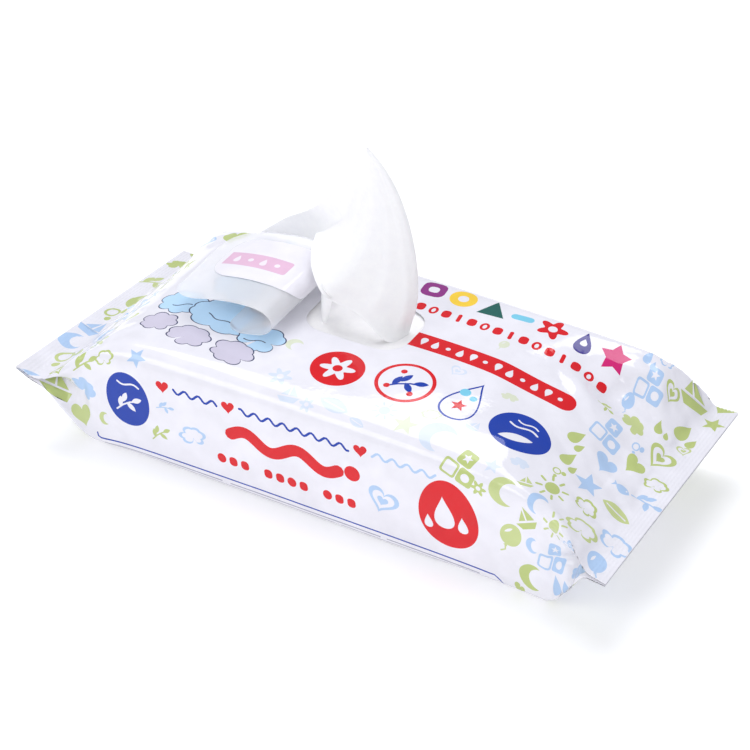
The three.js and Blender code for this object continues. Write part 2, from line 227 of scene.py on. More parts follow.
def film_grid():
    """The film: the designed shape, then let buckle where it has more film than room, as thin film does."""
    g = base_grid()
    x, y, z = g[..., 0], g[..., 1], g[..., 2]
    on_top = (np.abs(VS) < 62)[None, :] & (np.abs(US) < 126)[:, None]
    # hollows and swells in the slack right end and over the stack
    dz = (
        -4.6 * bump(x, y, 88, 27, 14, 8, -12)
        - 2.2 * bump(x, y, 104, -6, 9, 22)
        + 1.3 * bump(x, y, 74, -30, 14, 8)
        - 1.4 * bump(x, y, 66, 10, 12, 16)
        + 0.8 * bump(x, y, 30, -10, 22, 18)
        - 1.0 * bump(x, y, -104, 8, 6, 18)
        - 0.7 * bump(x, y, -84, -26, 10, 10)
    )
    g[..., 2] += np.where(on_top, dz, 0)
    base = g.copy()
    du, dv = np.gradient(g, axis=0), (np.roll(g, -1, 1) - np.roll(g, 1, 1)) / 2
    n = np.cross(du, dv)
    n /= np.maximum(np.linalg.norm(n, axis=2, keepdims=True), 1e-9)
    n *= np.sign((n[..., 2] * (np.abs(VS) < 40)[None, :]).sum())  # outwards
    end = smooth(82, 112, np.abs(x))
    fin = smooth(124, 128, np.abs(US))[:, None] * np.ones((1, NV))
    low = (base[..., 2] < 0.4).astype(float)
    side = ((np.abs(VS) > 52) & (np.abs(VS) < 98))[None, :] * np.ones((NU, 1))
    slack = 0.0030 + 0.030 * end * (1 - fin) + 0.004 * side
    slack *= 1 - 0.85 * low
    size = 0.25 + 1.15 * end
    seed = (
        0.6 * noise2((NU, NV), (26, 30), 3)
        + 0.5 * noise2((NU, NV), (44, 52), 4)
        + 0.6 * noise2((NU, NV), (12, 16), 5)
    )
    g = g + n * (seed * size * (1 - fin) * (1 - 0.9 * low))[..., None]
    hold = 0.012 + 0.3 * fin + 0.1 * low + 0.03 * bump(x, y, -9, 8, 30, 22) * (np.abs(VS) < 45)[None, :]

    def rest(a, b, sa, sb):
        return np.linalg.norm(a - b, axis=2) * (1 + (sa + sb) / 2)

    def pull(a, b, r, k):
        d = b - a
        l = np.linalg.norm(d, axis=2, keepdims=True)
        return k * 0.5 * d * (1 - r[..., None] / np.maximum(l, 1e-9))

    lu = rest(base[:-1], base[1:], slack[:-1], slack[1:])
    lv = rest(base, np.roll(base, -1, 1), slack, np.roll(slack, -1, 1))
    bd = np.roll(base, -1, 1)
    ld1 = rest(base[:-1], bd[1:], slack[:-1], slack[1:])
    ld2 = rest(bd[:-1], base[1:], slack[:-1], slack[1:])
    lu2 = rest(base[:-2], base[2:], slack[:-2], slack[2:])
    lv2 = rest(base, np.roll(base, -2, 1), slack, np.roll(slack, -2, 1))
    for _ in range(150):
        c = np.zeros_like(g)
        d = pull(g[:-1], g[1:], lu, 1.0)
        c[:-1] += d
        c[1:] -= d
        d = pull(g, np.roll(g, -1, 1), lv, 1.0)
        c += d
        c -= np.roll(d, 1, 1)
        gr = np.roll(g, -1, 1)
        d = pull(g[:-1], gr[1:], ld1, 0.5)
        c[:-1] += d
        e = np.zeros_like(g)
        e[1:] -= d
        c += np.roll(e, 1, 1)
        d = pull(gr[:-1], g[1:], ld2, 0.5)
        e = np.zeros_like(g)
        e[:-1] += d
        c += np.roll(e, 1, 1)
        c[1:] -= d
        d = pull(g[:-2], g[2:], lu2, 0.16)
        c[:-2] += d
        c[2:] -= d
        d = pull(g, np.roll(g, -2, 1), lv2, 0.16)
        c += d
        c -= np.roll(d, 2, 1)
        g = g + 0.28 * c
        g += hold[..., None] * (base - g)
        g[..., 2] = np.maximum(g[..., 2], 0.02)
    # even out single-point kinks
    s = g.copy()
    s[1:-1] = 0.5 * g[1:-1] + 0.25 * (g[:-2] + g[2:])
    s = 0.6 * s + 0.2 * (np.roll(s, 1, 1) + np.roll(s, -1, 1))
    g = g + 0.35 * (1 - fin)[..., None] * (s - g)
    g[..., 2] = np.maximum(g[..., 2], 0.02)
    return g




def tent(p, a, b, wide, high):
    """A straight crease from a to b: highest along the line, falling off sharply to each side, fading at both ends."""
    a, b = np.array(a, float), np.array(b, float)
    d = b - a
    k = np.clip(((p - a) * d).sum(-1) / (d * d).sum(), 0, 1)
    far = np.linalg.norm(p - (a + k[..., None] * d), axis=-1)
    return high * np.maximum(0, 1 - far / wide) * np.sin(math.pi * np.clip(0.12 + 0.76 * k, 0, 1))


# creases: (from, to, half width, height out of the film), in x, y, z mm
CREASES = [
    ((84, 37, 47), (101, 43, 43), 5.0, 1.6),
    ((101, 43, 43), (113, 50, 34), 4.0, 1.2),
    ((101, 43, 43), (108, 30, 35), 4.5, 1.5),
    ((90, 32, 42), (108, 28, 33), 4.5, -1.7),
    ((87, 22, 43), (91, 33, 42), 4.0, -1.1),
    ((101, 43, 43), (93, 50, 46), 3.6, 1.0),
    ((72, 24, 48.5), (92, 6, 41.5), 6.0, 0.8),
    ((76, -6, 47.5), (100, -22, 38), 5.5, -0.9),
    ((94, -6, 40), (114, -14, 29), 4.5, 1.0),
    ((98, -30, 40), (116, -34, 29), 4.0, -0.9),
    ((100, 12, 37), (116, 10, 28), 4.0, -0.9),
    ((104, 24, 34), (117, 26, 28), 3.6, 1.0),
    ((83, -47, 46), (100, -50.5, 39.5), 4.0, 1.0),
    ((100, -50.5, 39.5), (114, -52, 31), 3.6, 1.0),
    ((80, -50.3, 5), (95, -51, 22.5), 3.6, 0.9),
    ((95, -51, 22.5), (99, -50.5, 40), 3.2, 0.8),
    ((99, -50.5, 3), (99.5, -50.8, 30), 3.0, 1.0),
    ((95, -51, 22.5), (110, -49, 24), 3.4, -0.8),
    ((88, -50, 34), (97, -50.5, 26), 3.0, -0.6),
    ((-99, -50.6, 4), (-100, -50.8, 34), 3.0, 1.0),
    ((-99, -49, 42), (-112, -52, 33), 4.0, 1.0),
    ((-96, -20, 45), (-112, -26, 33), 4.0, -0.9),
    ((-97, -2, 44), (-114, 2, 29), 4.0, 0.9),
    ((-97, 18, 44), (-113, 24, 30), 4.0, -0.9),
    ((-98, 36, 43), (-113, 42, 32), 4.0, 1.0),
    ((-92, 40, 47), (-104, 46, 41), 3.6, 0.9),
    ((-88, -30, 48.5), (-100, -44, 42), 4.5, 0.7),
    ((99, 50.6, 4), (99.5, 51, 36), 3.0, 0.9),
    ((-99, 50.6, 4), (-99.5, 51, 34), 3.0, 0.9),
    ((80, 50.3, 8), (96, 50.8, 26), 3.6, 0.8),
    ((-80, 50.3, 8), (-96, 50.8, 24), 3.6, 0.8),
    ((-82, -50.3, 8), (-96, -50.8, 20), 3.4, 0.6),
]


def creased(g):
    du, dv = np.gradient(g, axis=0), (np.roll(g, -1, 1) - np.roll(g, 1, 1)) / 2
    n = np.cross(du, dv)
    n /= np.maximum(np.linalg.norm(n, axis=2, keepdims=True), 1e-9)
    n *= np.sign((n[..., 2] * (np.abs(VS) < 40)[None, :]).sum())
    h = sum(tent(g, *c) for c in CREASES)
    h = h * (1 - smooth(122, 127, np.abs(US)))[:, None]
    out = g + n * h[..., None]
    out[..., 2] = np.maximum(out[..., 2], 0.02)
    return out


FILM = creased(film_grid())


def on_film(u, v):
    """Point, and outward unit normal, of the film at flat positions u, v (mm)."""
    u, v = np.asarray(u, float), np.asarray(v, float)
    fi = np.clip((u + HALF_U) / (2 * HALF_U) * (NU - 1), 0, NU - 1)
    fj = (v + HALF_V) / (2 * HALF_V) * NV
    i, j = np.minimum(np.floor(fi).astype(int), NU - 2), np.floor(fj).astype(int)
    s, t = fi - i, fj - j

    def w(q):
        return (
            [0.5 * (-q + 2 * q**2 - q**3), 0.5 * (2 - 5 * q**2 + 3 * q**3), 0.5 * (q + 4 * q**2 - 3 * q**3), 0.5 * (-(q**2) + q**3)],
            [0.5 * (-1 + 4 * q - 3 * q**2), 0.5 * (-10 * q + 9 * q**2), 0.5 * (1 + 8 * q - 9 * q**2), 0.5 * (-2 * q + 3 * q**2)],
        )

    ws, ds = w(s)
    wt, dt = w(t)
    p, pu, pv = (np.zeros(u.shape + (3,)) for _ in range(3))
    for a in range(4):
        ia = np.clip(i + a - 1, 0, NU - 1)
        for b in range(4):
            q = FILM[ia, (j + b - 1) % NV]
            p += (ws[a] * wt[b])[..., None] * q
            pu += (ds[a] * wt[b])[..., None] * q
            pv += (ws[a] * dt[b])[..., None] * q
    n = np.cross(pu, pv)
    n /= np.maximum(np.linalg.norm(n, axis=-1, keepdims=True), 1e-9)
    return p, n


_n = on_film(np.array([60.0]), np.array([0.0]))[1]
FLIP = 1.0 if _n[0, 2] > 0 else -1.0

# ------------------------------------------------------------------ colours


def srgb(r, g, b):
    out = []
    for c in (r, g, b):
        c /= 255
        out.append(c / 12.92 if c <= 0.04045 else ((c + 0.055) / 1.055) ** 2.4)
    return tuple(out)


INK = {
    "white": srgb(232, 231, 238),
    "green": srgb(184, 198, 124),
    "green2": srgb(194, 206, 142),
    "blue": srgb(174, 201, 234),
    "blue2": srgb(188, 211, 238),
    "pale_blue": srgb(212, 222, 238),
    "pale_green": srgb(216, 222, 198),
    "sky": srgb(184, 218, 244),
    "mist": srgb(205, 200, 218),
    "line": srgb(44, 52, 92),
    "red": srgb(214, 6, 22),
    "navy": srgb(4, 56, 164),
    "purple": srgb(138, 44, 128),
    "yellow": srgb(246, 206, 60),
    "teal": srgb(18, 92, 84),
    "aqua": srgb(120, 200, 226),
    "violet": srgb(52, 40, 134),
    "magenta": srgb(204, 30, 112),
    "grey": srgb(160, 160, 176),
    "pink": srgb(222, 160, 200),
}

# ------------------------------------------------------------------ simple printed shapes
# outlines in local mm, x to the right and y up


def ellipse(rx, ry, n=None, cx=0.0, cy=0.0):
    n = n or int(np.clip(2 * math.pi * max(rx, ry) / 0.9, 12, 96))
    t = np.linspace(0, 2 * math.pi, n, endpoint=False)
    return np.stack([cx + rx * np.cos(t), cy + ry * np.sin(t)], 1)


def densify(p, step=1.0):
    p = np.asarray(p, float)
    out = []
    for a, b in zip(p, np.roll(p, -1, 0)):
        m = max(1, int(math.ceil(np.linalg.norm(b - a) / step)))
        for i in range(m):
            out.append(a + (b - a) * i / m)
    return np.array(out)


def star(r, inner=0.44, points=5):
    t = np.arange(points * 2) * math.pi / points + math.pi / 2
    rr = np.where(np.arange(points * 2) % 2 == 0, r, r * inner)
    return densify(np.stack([rr * np.cos(t), rr * np.sin(t)], 1), 0.9)


def heart(w):
    t = np.linspace(0, 2 * math.pi, max(24, int(w * 3)), endpoint=False)
    x = 16 * np.sin(t) ** 3
    y = 13 * np.cos(t) - 5 * np.cos(2 * t) - 2 * np.cos(3 * t) - np.cos(4 * t)
    return np.stack([x, y + 2], 1) * (w / 33)


def drop(h):
    t = np.linspace(0, 2 * math.pi, max(18, int(h * 2.6)), endpoint=False)
    x = np.sin(t) * np.sin(t / 2) ** 1.6
    return np.stack([x * 0.42 * h, 0.5 * h * np.cos(t)], 1)


def moon(r, bite=0.55):
    t = np.linspace(math.radians(50), math.radians(310), max(16, int(r * 4)))
    outer = np.stack([r * np.cos(t), r * np.sin(t)], 1)
    a = outer[-1]
    c = np.array([r * bite, 0.0])
    rad = np.linalg.norm(a - c)
    t0 = math.atan2(a[1] - c[1], a[0] - c[0])
    t1 = math.atan2(outer[0][1] - c[1], outer[0][0] - c[0])
    s = np.linspace(t0 if t0 > 0 else t0 + 2 * math.pi, t1, max(12, int(r * 3)))[1:-1]
    return np.vstack([outer, np.stack([c[0] + rad * np.cos(s), c[1] + rad * np.sin(s)], 1)])


def puffs(w, h, lobes, seed):
    """A cloud: the outline of overlapping round puffs."""
    r = np.random.default_rng(seed)
    n = int(np.clip((w + h) * 2.4, 44, 160))
    t = np.linspace(0, 2 * math.pi, n, endpoint=False)
    out = np.full(n, 0.30)
    for k in range(lobes):
        a = 2 * math.pi * (k + 0.25 * r.uniform(-1, 1)) / lobes
        size = r.uniform(0.30, 0.42) * (1.15 if math.sin(a) > 0 else 0.9)
        d = 1 - size
        c = np.cos(t - a) * d
        q = c**2 - d**2 + size**2
        out = np.maximum(out, np.where(q > 0, c + np.sqrt(np.maximum(q, 0)), 0))
    return np.stack([w / 2 * out * np.cos(t), h / 2 * out * np.sin(t)], 1)


def petals(r, n=5, depth=0.3):
    t = np.linspace(0, 2 * math.pi, max(30, int(r * 9)), endpoint=False)
    k = (1 - depth) + depth * np.cos(n * t)
    return np.stack([r * k * np.cos(t), r * k * np.sin(t)], 1)


def leaf(l, w, cx=0.0, cy=0.0, turn=0.0):
    t = np.linspace(0, 1, max(9, int(l)))
    up = np.stack([(t - 0.5) * l, w / 2 * np.sin(math.pi * t) ** 0.8], 1)
    p = np.vstack([up, (up * [1, -1])[::-1][1:-1]])
    return spun(p, turn) + [cx, cy]


def spun(p, deg):
    a = math.radians(deg)
    return p @ np.array([[math.cos(a), math.sin(a)], [-math.sin(a), math.cos(a)]])


def rounded(w, h, r, step=1.2):
    r = min(r, w / 2 - 1e-3, h / 2 - 1e-3)
    p = []
    for cx, cy, a0 in ((w / 2 - r, -h / 2 + r, -90), (w / 2 - r, h / 2 - r, 0), (-w / 2 + r, h / 2 - r, 90), (-w / 2 + r, -h / 2 + r, 180)):
        for a in np.radians(np.linspace(a0, a0 + 90, max(4, int(r * 1.4)))):
            p.append((cx + r * math.cos(a), cy + r * math.sin(a)))
    return densify(p, step)


def stroke(line, width):
    """A polyline as a closed band of that width with rounded ends."""
    p = np.asarray(line, float)
    d = np.gradient(p, axis=0)
    d /= np.maximum(np.linalg.norm(d, axis=1, keepdims=True), 1e-9)
    n = np.stack([-d[:, 1], d[:, 0]], 1) * width / 2
    cap = []
    for q, t in ((p[-1], d[-1]), (p[0], -d[0])):
        a0 = math.atan2(t[1], t[0])
        cap.append([q + width / 2 * np.array([math.cos(a0 + a), math.sin(a0 + a)]) for a in np.radians([60, 20, -20, -60])])
    return np.vstack([p + n, cap[0], (p - n)[::-1], cap[1]])


def wave(length, amp, pitch, n=None):
    n = n or int(length / 0.8) + 2
    x = np.linspace(-length / 2, length / 2, n)
    return np.stack([x, amp * np.sin(2 * math.pi * x / pitch)], 1)


SHAPES = []  # (outline in u, v; ink), in painting order


def put(shape, ink, u, v, turn=0.0, scale=1.0):
    p = spun(np.asarray(shape, float) * scale, turn)
    SHAPES.append((np.stack([u + p[:, 0], v - p[:, 1]], 1), ink))


# the small scattered motifs, each a list of (outline, ink or None for white)


def motif(kind, r, ink):
    w = "white"
    if kind == "star":
        return [(star(r), ink)]
    if kind == "star_line":
        return [(star(r), ink), (star(r * 0.62), w)]
    if kind == "moon":
        return [(moon(r), ink)]
    if kind == "cloud":
        return [(puffs(2.2 * r, 1.5 * r, 6, 5), ink)]
    if kind == "cloud_line":
        return [(puffs(2.2 * r, 1.5 * r, 6, 5), ink), (puffs(2.2 * r, 1.5 * r, 6, 5) * 0.76, w)]
    if kind == "heart":
        return [(heart(1.8 * r), ink)]
    if kind == "heart_line":
        return [(heart(1.9 * r), ink), (heart(1.9 * r) * 0.72, w), (heart(1.9 * r) * 0.36, ink)]
    if kind == "daisy":
        return [(petals(r, 6, 0.26), ink), (ellipse(r * 0.28, r * 0.28), w)]
    if kind == "sprig":
        return [
            (stroke([(-r, -r * 0.5), (-r * 0.3, -r * 0.18), (r * 0.4, 0.0), (r * 0.8, 0.05)], r * 0.13), ink),
            (leaf(r * 0.95, r * 0.42, r * 0.05, r * 0.42, 52), ink),
            (leaf(r * 0.95, r * 0.42, -r * 0.42, r * 0.12, 66), ink),
            (leaf(r * 0.95, r * 0.42, r * 0.35, -r * 0.38, -58), ink),
            (leaf(r * 0.9, r * 0.42, r * 1.0, r * 0.1, 8), ink),
        ]
    if kind == "leaf":
        return [(leaf(2.1 * r, r), ink), (stroke([(-0.7 * r, 0), (0, 0), (0.75 * r, 0)], r * 0.1), w)]
    if kind == "drops":
        return [(drop(1.5 * r), ink), (drop(0.9 * r) + [r * 0.85, -r * 0.35], ink)]
    if kind == "bubbles":
        return [
            (ellipse(r * 0.62, r * 0.62), ink),
            (ellipse(r * 0.42, r * 0.42), w),
            (ellipse(r * 0.36, r * 0.36, cx=r * 0.9, cy=r * 0.35), ink),
            (ellipse(r * 0.26, r * 0.26, cx=r * 0.25, cy=-r * 0.95), ink),
        ]
    if kind == "sun":
        out = [(ellipse(r * 0.48, r * 0.48), ink)]
        for a in range(0, 360, 45):
            q = np.array([(0.68 * r, 0), (0.84 * r, 0), (r, 0)])
            out.append((stroke(spun(q, a), r * 0.16), ink))
        return out
    if kind == "fish":
        return [
            (leaf(1.7 * r, 0.95 * r), ink),
            (np.array([(-0.7 * r, 0), (-1.2 * r, 0.42 * r), (-1.05 * r, 0), (-1.2 * r, -0.42 * r)]), ink),
            (ellipse(r * 0.09, r * 0.09, cx=r * 0.42, cy=r * 0.12), w),
        ]
    if kind == "balloon":
        return [
            (ellipse(r * 0.62, r * 0.76, cy=r * 0.25), ink),
            (np.array([(-0.13 * r, -0.62 * r), (0.13 * r, -0.62 * r), (0, -0.42 * r)]), ink),
            (stroke([(0, -0.6 * r), (0.1 * r, -0.85 * r), (-0.06 * r, -1.1 * r)], r * 0.09), ink),
            (leaf(0.6 * r, 0.16 * r, -0.25 * r, 0.45 * r, 60), w),
        ]
    if kind == "boat":
        return [
            (np.array([(-r, -0.25 * r), (r, -0.25 * r), (0.6 * r, -0.75 * r), (-0.6 * r, -0.75 * r)]), ink),
            (np.array([(0.06 * r, -0.1 * r), (0.06 * r, r), (0.8 * r, -0.1 * r)]), ink),
            (np.array([(-0.08 * r, -0.1 * r), (-0.7 * r, -0.1 * r), (-0.08 * r, 0.75 * r)]), ink),
        ]
    if kind == "blocks":
        return [
            (rounded(1.1 * r, 1.1 * r, 0.2 * r) + [-0.55 * r, -0.5 * r], ink),
            (rounded(0.8 * r, 0.8 * r, 0.12 * r) + [-0.55 * r, -0.5 * r], w),
            (rounded(1.1 * r, 1.1 * r, 0.2 * r) + [0.62 * r, -0.5 * r], ink),
            (ellipse(0.3 * r, 0.3 * r, cx=0.62 * r, cy=-0.5 * r), w),
            (rounded(1.1 * r, 1.1 * r, 0.2 * r) + [0.05 * r, 0.66 * r], ink),
            (star(0.36 * r) + [0.05 * r, 0.66 * r], w),
        ]
    return [(ellipse(r * 0.5, r * 0.5), ink)]


KINDS = ["star", "cloud_line", "sprig", "drops", "heart_line", "daisy", "moon", "boat", "bubbles", "leaf", "balloon", "fish", "sun", "blocks", "cloud", "heart"]
TAKEN = []  # (u, v, radius) of what is already printed


def free(u, v, r):
    return all((u - a) ** 2 + (v - b) ** 2 > (r + c) ** 2 for a, b, c in TAKEN)


def keep_clear(u0, u1, v0, v1, step=5.0):
    r = step * 0.72
    for u in np.arange(u0, u1 + 0.1, step):
        for v in np.arange(v0, v1 + 0.1, step):
            TAKEN.append((u, v, r))


# ------------------------------------------------------------------ the printed design
keep_clear(-34, 16, -26, 10)  # the opening
# bank of clouds on the top, in place of a picture
keep_clear(-92, -30, -28, 42)
TOP_CLOUDS = [
    (-62, -8, 30, 24, 8, 3, "sky", 0),
    (-80, 12, 22, 17, 7, 4, "sky", 8),
    (-58, 15, 34, 22, 9, 6, "sky", -4),
    (-38, 22, 20, 17, 7, 9, "sky", 10),
    (-82, 27, 17, 13, 7, 12, "mist", 6),
    (-65, 32, 20, 13, 7, 14, "mist", 0),
    (-44, 34, 20, 14, 7, 17, "mist", -8),
]
for u, v, w, h, lobes, seed, ink, turn in TOP_CLOUDS:
    p = puffs(w, h, lobes, seed)
    put(p, "line", u, v, turn)
    put(p * (1 - 1.0 / (w / 2 + h / 2)), ink, u, v, turn)
put(moon(4.0), "mist", -72, -24, 30)
for u, v, r in ((-46, -24, 2.2), (-40, -12, 1.6), (-88, -16, 1.8)):
    put(star(r), "blue", u, v, 10)
put(stroke(spun(wave(16, 0.8, 11), 0), 0.5), "line", -58, 18, -12)
put(stroke(spun(wave(9, 0.6, 9), 0), 0.5), "line", -40, 24, 8)
put(stroke(spun(wave(8, 0.6, 9), 0), 0.5), "line", -79, 14, 14)

# round signs along the front of the top
put(ellipse(10.6, 10.6), "red", -3, 24.5)
put(petals(7.2, 6, 0.26), "white", -3, 24.5, 10)
put(ellipse(2.0, 2.0), "red", -3, 24.5)
put(ellipse(11.8, 11.6), "red", 24, 20.5)
put(ellipse(10.3, 10.1), "white", 24, 20.5)
for shape, colour in motif("sprig", 6.6, "navy"):
    put(shape, colour, 23.6, 21.0, 12)
for x, y in ((-3.4, 5.6), (4.6, -5.4), (-5.6, -4.6)):
    put(ellipse(1.3, 1.3), "red", 24 + x, 20.5 - y)
put(drop(25), "navy", 48.5, 18.5, -8)
put(drop(25) * 0.9, "white", 48.5, 18.9, -8)
put(star(3.4), "red", 47.6, 22.6, 8)
put(ellipse(1.5, 1.5), "aqua", 50.6, 16.4)
put(ellipse(2.2, 2.2), "aqua", 46.4, 14.6)
put(ellipse(11.8, 11.2), "navy", 73, 22.5)
put(leaf(13, 4.6), "white", 73, 26.5, 24)
put(stroke(wave(11, 0.9, 11), 0.9), "white", 73, 19.1, 0)
put(stroke(wave(8, 0.7, 8), 0.7), "white", 73.5, 16.1, 0)
for u, v, r in ((-3, 24.5, 11.5), (24, 20.5, 12.5), (48.5, 18.5, 11.5), (73, 22.5, 12.5)):
    TAKEN.append((u, v, r))

# red band, cut through by the opening
BAND = (rounded(101, 9.6, 4.4), 31.5, -6.5)
put(BAND[0], "red", BAND[1], BAND[2])
for i in range(12):
    u = 17.5 + i * 5.3
    if i % 3 == 2:
        put(ellipse(1.0, 1.0), "white", u, BAND[2])
    else:
        put(drop(5.0), "white", u, BAND[2], 0 if i % 2 else 180)
keep_clear(8, 84, -13, 0)

# row of small red beads and the row of coloured forms behind it
for i in range(15):
    u = 5 + i * 5.6
    if i % 4 == 3:
        put(rounded(1.6, 5.4, 0.8), "red", u, -27.5, 8)
    elif i % 2:
        put(ellipse(1.9, 2.6), "red", u, -27.5)
        put(ellipse(0.8, 1.4), "white", u, -27.5)
    else:
        put(rounded(3.8, 5.0, 1.6), "red", u, -27.5, 6)
keep_clear(0, 86, -32, -24)
FORMS = [
    (4, rounded(10, 10, 3.2), "purple", rounded(4.4, 4.0, 1.6)),
    (17, ellipse(5.6, 5.6), "yellow", ellipse(2.2, 2.2)),
    (30.5, densify([(-5.6, -5), (5.6, -5), (0, 5.4)], 1), "teal", None),
    (43, rounded(9.5, 3.6, 1.7), "aqua", None),
    (56, petals(6.4, 5, 0.24), "red", ellipse(1.9, 1.9)),
    (69.5, drop(12), "violet", drop(5) * [1, 0.8]),
    (83, star(6.8, 0.55), "magenta", None),
]
for u, shape, ink, hole in FORMS:
    put(shape, ink, u, -40.5, 6)
    if hole is not None:
        put(hole, "white", u, -40.5, 6)
keep_clear(-4, 90, -48, -34)

# front wall
put(ellipse(10.4, 12.6), "navy", -82, 71, 12)
for shape, colour in motif("sprig", 5.6, "white"):
    put(shape, colour, -82.6, 72.6, 18)
put(stroke(wave(10, 0.8, 10), 0.8), "white", -81.4, 63.6, -6)
TAKEN.append((-82, 71, 13.5))
for u, v in ((-65.5, 59.8), (-36, 59.4), (21.5, 58.6)):
    put(heart(6.0), "red", u, v, 8)
for u0, u1, v, ink in ((-60.5, -41, 59.8, "navy"), (-31, 16.5, 59.2, "navy"), (26.5, 53, 58.4, "blue")):
    put(stroke(wave(u1 - u0, 1.15, 6.2), 1.0), ink, (u0 + u1) / 2, v)
keep_clear(-70, 54, 55, 63)
put(stroke(wave(47, 2.6, 23.5), 5.2), "red", -11, 71)
put(ellipse(3.4, 3.4), "red", 18.5, 70)
for i in range(12):
    u = -39 + i * 5.2
    if i in (3, 8):
        continue
    put(rounded(3.6, 4.4, 1.5) if i % 3 else ellipse(2.0, 2.3), "red", u, 84.5, 4)
keep_clear(-40, 22, 65, 90)
egg_t = np.linspace(0, 2 * math.pi, 84, endpoint=False)
egg = np.stack([12.4 * np.cos(egg_t) * (1 - 0.1 * np.sin(egg_t)), 15.2 * np.sin(egg_t)], 1)
put(egg, "red", 59, 73.5, 8)
put(drop(14.5), "white", 57.2, 73.0, 8)
put(drop(7.4), "white", 65.2, 76.0, 8)
put(drop(6.2), "white", 51.0, 79.2, 8)
TAKEN.append((59, 73.5, 16.5))
rule = np.vstack([[(-99.5, 3.0), (-99.2, 1.2), (-97.6, 0.15)], np.stack([np.linspace(-95, 76, 120), np.zeros(120)], 1), [(78.5, 0.4), (80.6, -1.0), (82.0, -3.4)]])
put(stroke(rule, 0.7), "navy", 0, 94.6)
for v, w, segs in ((96.9, 0.5, ((-96, -40), (-36, 30), (33, 72))), (98.6, 0.5, ((-96, 10), (13, 76))), (100.4, 0.5, ((-96, -60), (-57, 55)))):
    for a, b in segs:
        put(stroke(np.stack([np.linspace(a, b, int((b - a) / 1.6)), np.zeros(int((b - a) / 1.6))], 1), w), "grey", 0, v)
keep_clear(-100, 82, 92, 101)

# back wall and bottom: the same plain elements
put(stroke(wave(70, 2.4, 24), 4.6), "red", 10, -72)
for i in range(13):
    put(rounded(3.6, 4.4, 1.5) if i % 3 else ellipse(2.0, 2.3), "navy", -22 + i * 5.2, -84, 4)
keep_clear(-28, 46, -88, -64)
put(ellipse(12, 11), "navy", 68, -75, 0)
put(leaf(13, 5), "white", 68, -75, 20)
TAKEN.append((68, -75, 13))
put(ellipse(12, 13), "red", -66, -75, 0)
put(drop(13), "white", -66, -75, 0)
TAKEN.append((-66, -75, 14))
for sgn in (1, -1):
    put(rounded(120, 34, 5), "blue2", 0, sgn * 124)
    put(rounded(118.4, 32.4, 4.4), "white", 0, sgn * 124)
    for k in range(6):
        a, b = -54, (54 if k % 3 else 30)
        put(stroke(np.stack([np.linspace(a, b, 60), np.zeros(60)], 1), 0.7), "grey", 0, sgn * 124 - 10 + k * 4)
    keep_clear(-62, 62, min(sgn * 106, sgn * 142), max(sgn * 106, sgn * 142))
keep_clear(-136, 136, -150, -146)
keep_clear(-136, 136, 146, 150)

# scattered motifs in pale green and pale blue
order = 0
for tries in range(13000):
    u = RNG.uniform(-131, 131)
    v = RNG.uniform(-146, 146)
    quiet = abs(v) < 50 and abs(u) < 82
    lo, hi = (5.6, 7.4) if tries < 7000 else (4.4, 5.4) if tries < 10500 else (3.0, 3.8)
    r = RNG.uniform(lo, hi)
    pick, turn, roll = RNG.integers(0, 5), float(RNG.uniform(-28, 28)), RNG.uniform()
    if quiet and (tries < 5500 or roll < 0.4):
        continue
    if not free(u, v, r + 0.1):
        continue
    kind = KINDS[(order * 7 + order // 16) % len(KINDS)]
    ink = ("green", "blue", "green", "blue", "green2")[pick]
    if quiet:
        ink = "pale_blue" if roll < 0.75 else "pale_green"
    for shape, colour in motif(kind, r, ink):
        put(shape, colour, u, v, turn)
    TAKEN.append((u, v, r + 0.1))
    order += 1

# ------------------------------------------------------------------ meshes


def build(name, verts, faces, normals=None, inks=None, uv=None, mats=(), mat_index=None, skins=None):
    """A mesh object from numpy arrays in mm. The faces from skins on are cut edges, shaded flat."""
    me = bpy.data.meshes.new(name)
    me.from_pydata((np.asarray(verts) * MM).tolist(), [], np.asarray(faces).tolist())
    me.polygons.foreach_set("use_smooth", np.ones(len(me.polygons), bool))
    if inks is not None:
        att = me.color_attributes.new("Print", "FLOAT_COLOR", "CORNER")
        tri = len(faces[0])
        c = np.ones((len(faces) * tri, 4), np.float32)
        c[:, :3] = np.repeat(np.asarray(inks, np.float32), tri, axis=0)
        att.data.foreach_set("color", c.ravel())
    if uv is not None:
        lay = me.uv_layers.new(name="OFBake")
        lay.data.foreach_set("uv", np.asarray(uv, np.float32).ravel())
    for m in mats:
        me.materials.append(m)
    if mat_index is not None:
        me.polygons.foreach_set("material_index", np.asarray(mat_index, np.int32))
    me.validate()
    me.update()
    if normals is not None and skins is None:
        me.normals_split_custom_set_from_vertices(np.asarray(normals).tolist())
    elif normals is not None:
        p, f = np.asarray(verts), np.asarray(faces)
        corner = np.asarray(normals)[f]
        a, b, c = (p[f[skins:, k]] for k in range(3))
        flat = np.cross(b - a, c - a)
        corner[skins:] = (flat / np.maximum(np.linalg.norm(flat, axis=1, keepdims=True), 1e-12))[:, None]
        me.normals_split_custom_set(corner.reshape(-1, 3).tolist())
    o = bpy.data.objects.new(name, me)
    bpy.context.scene.collection.objects.link(o)
    return o


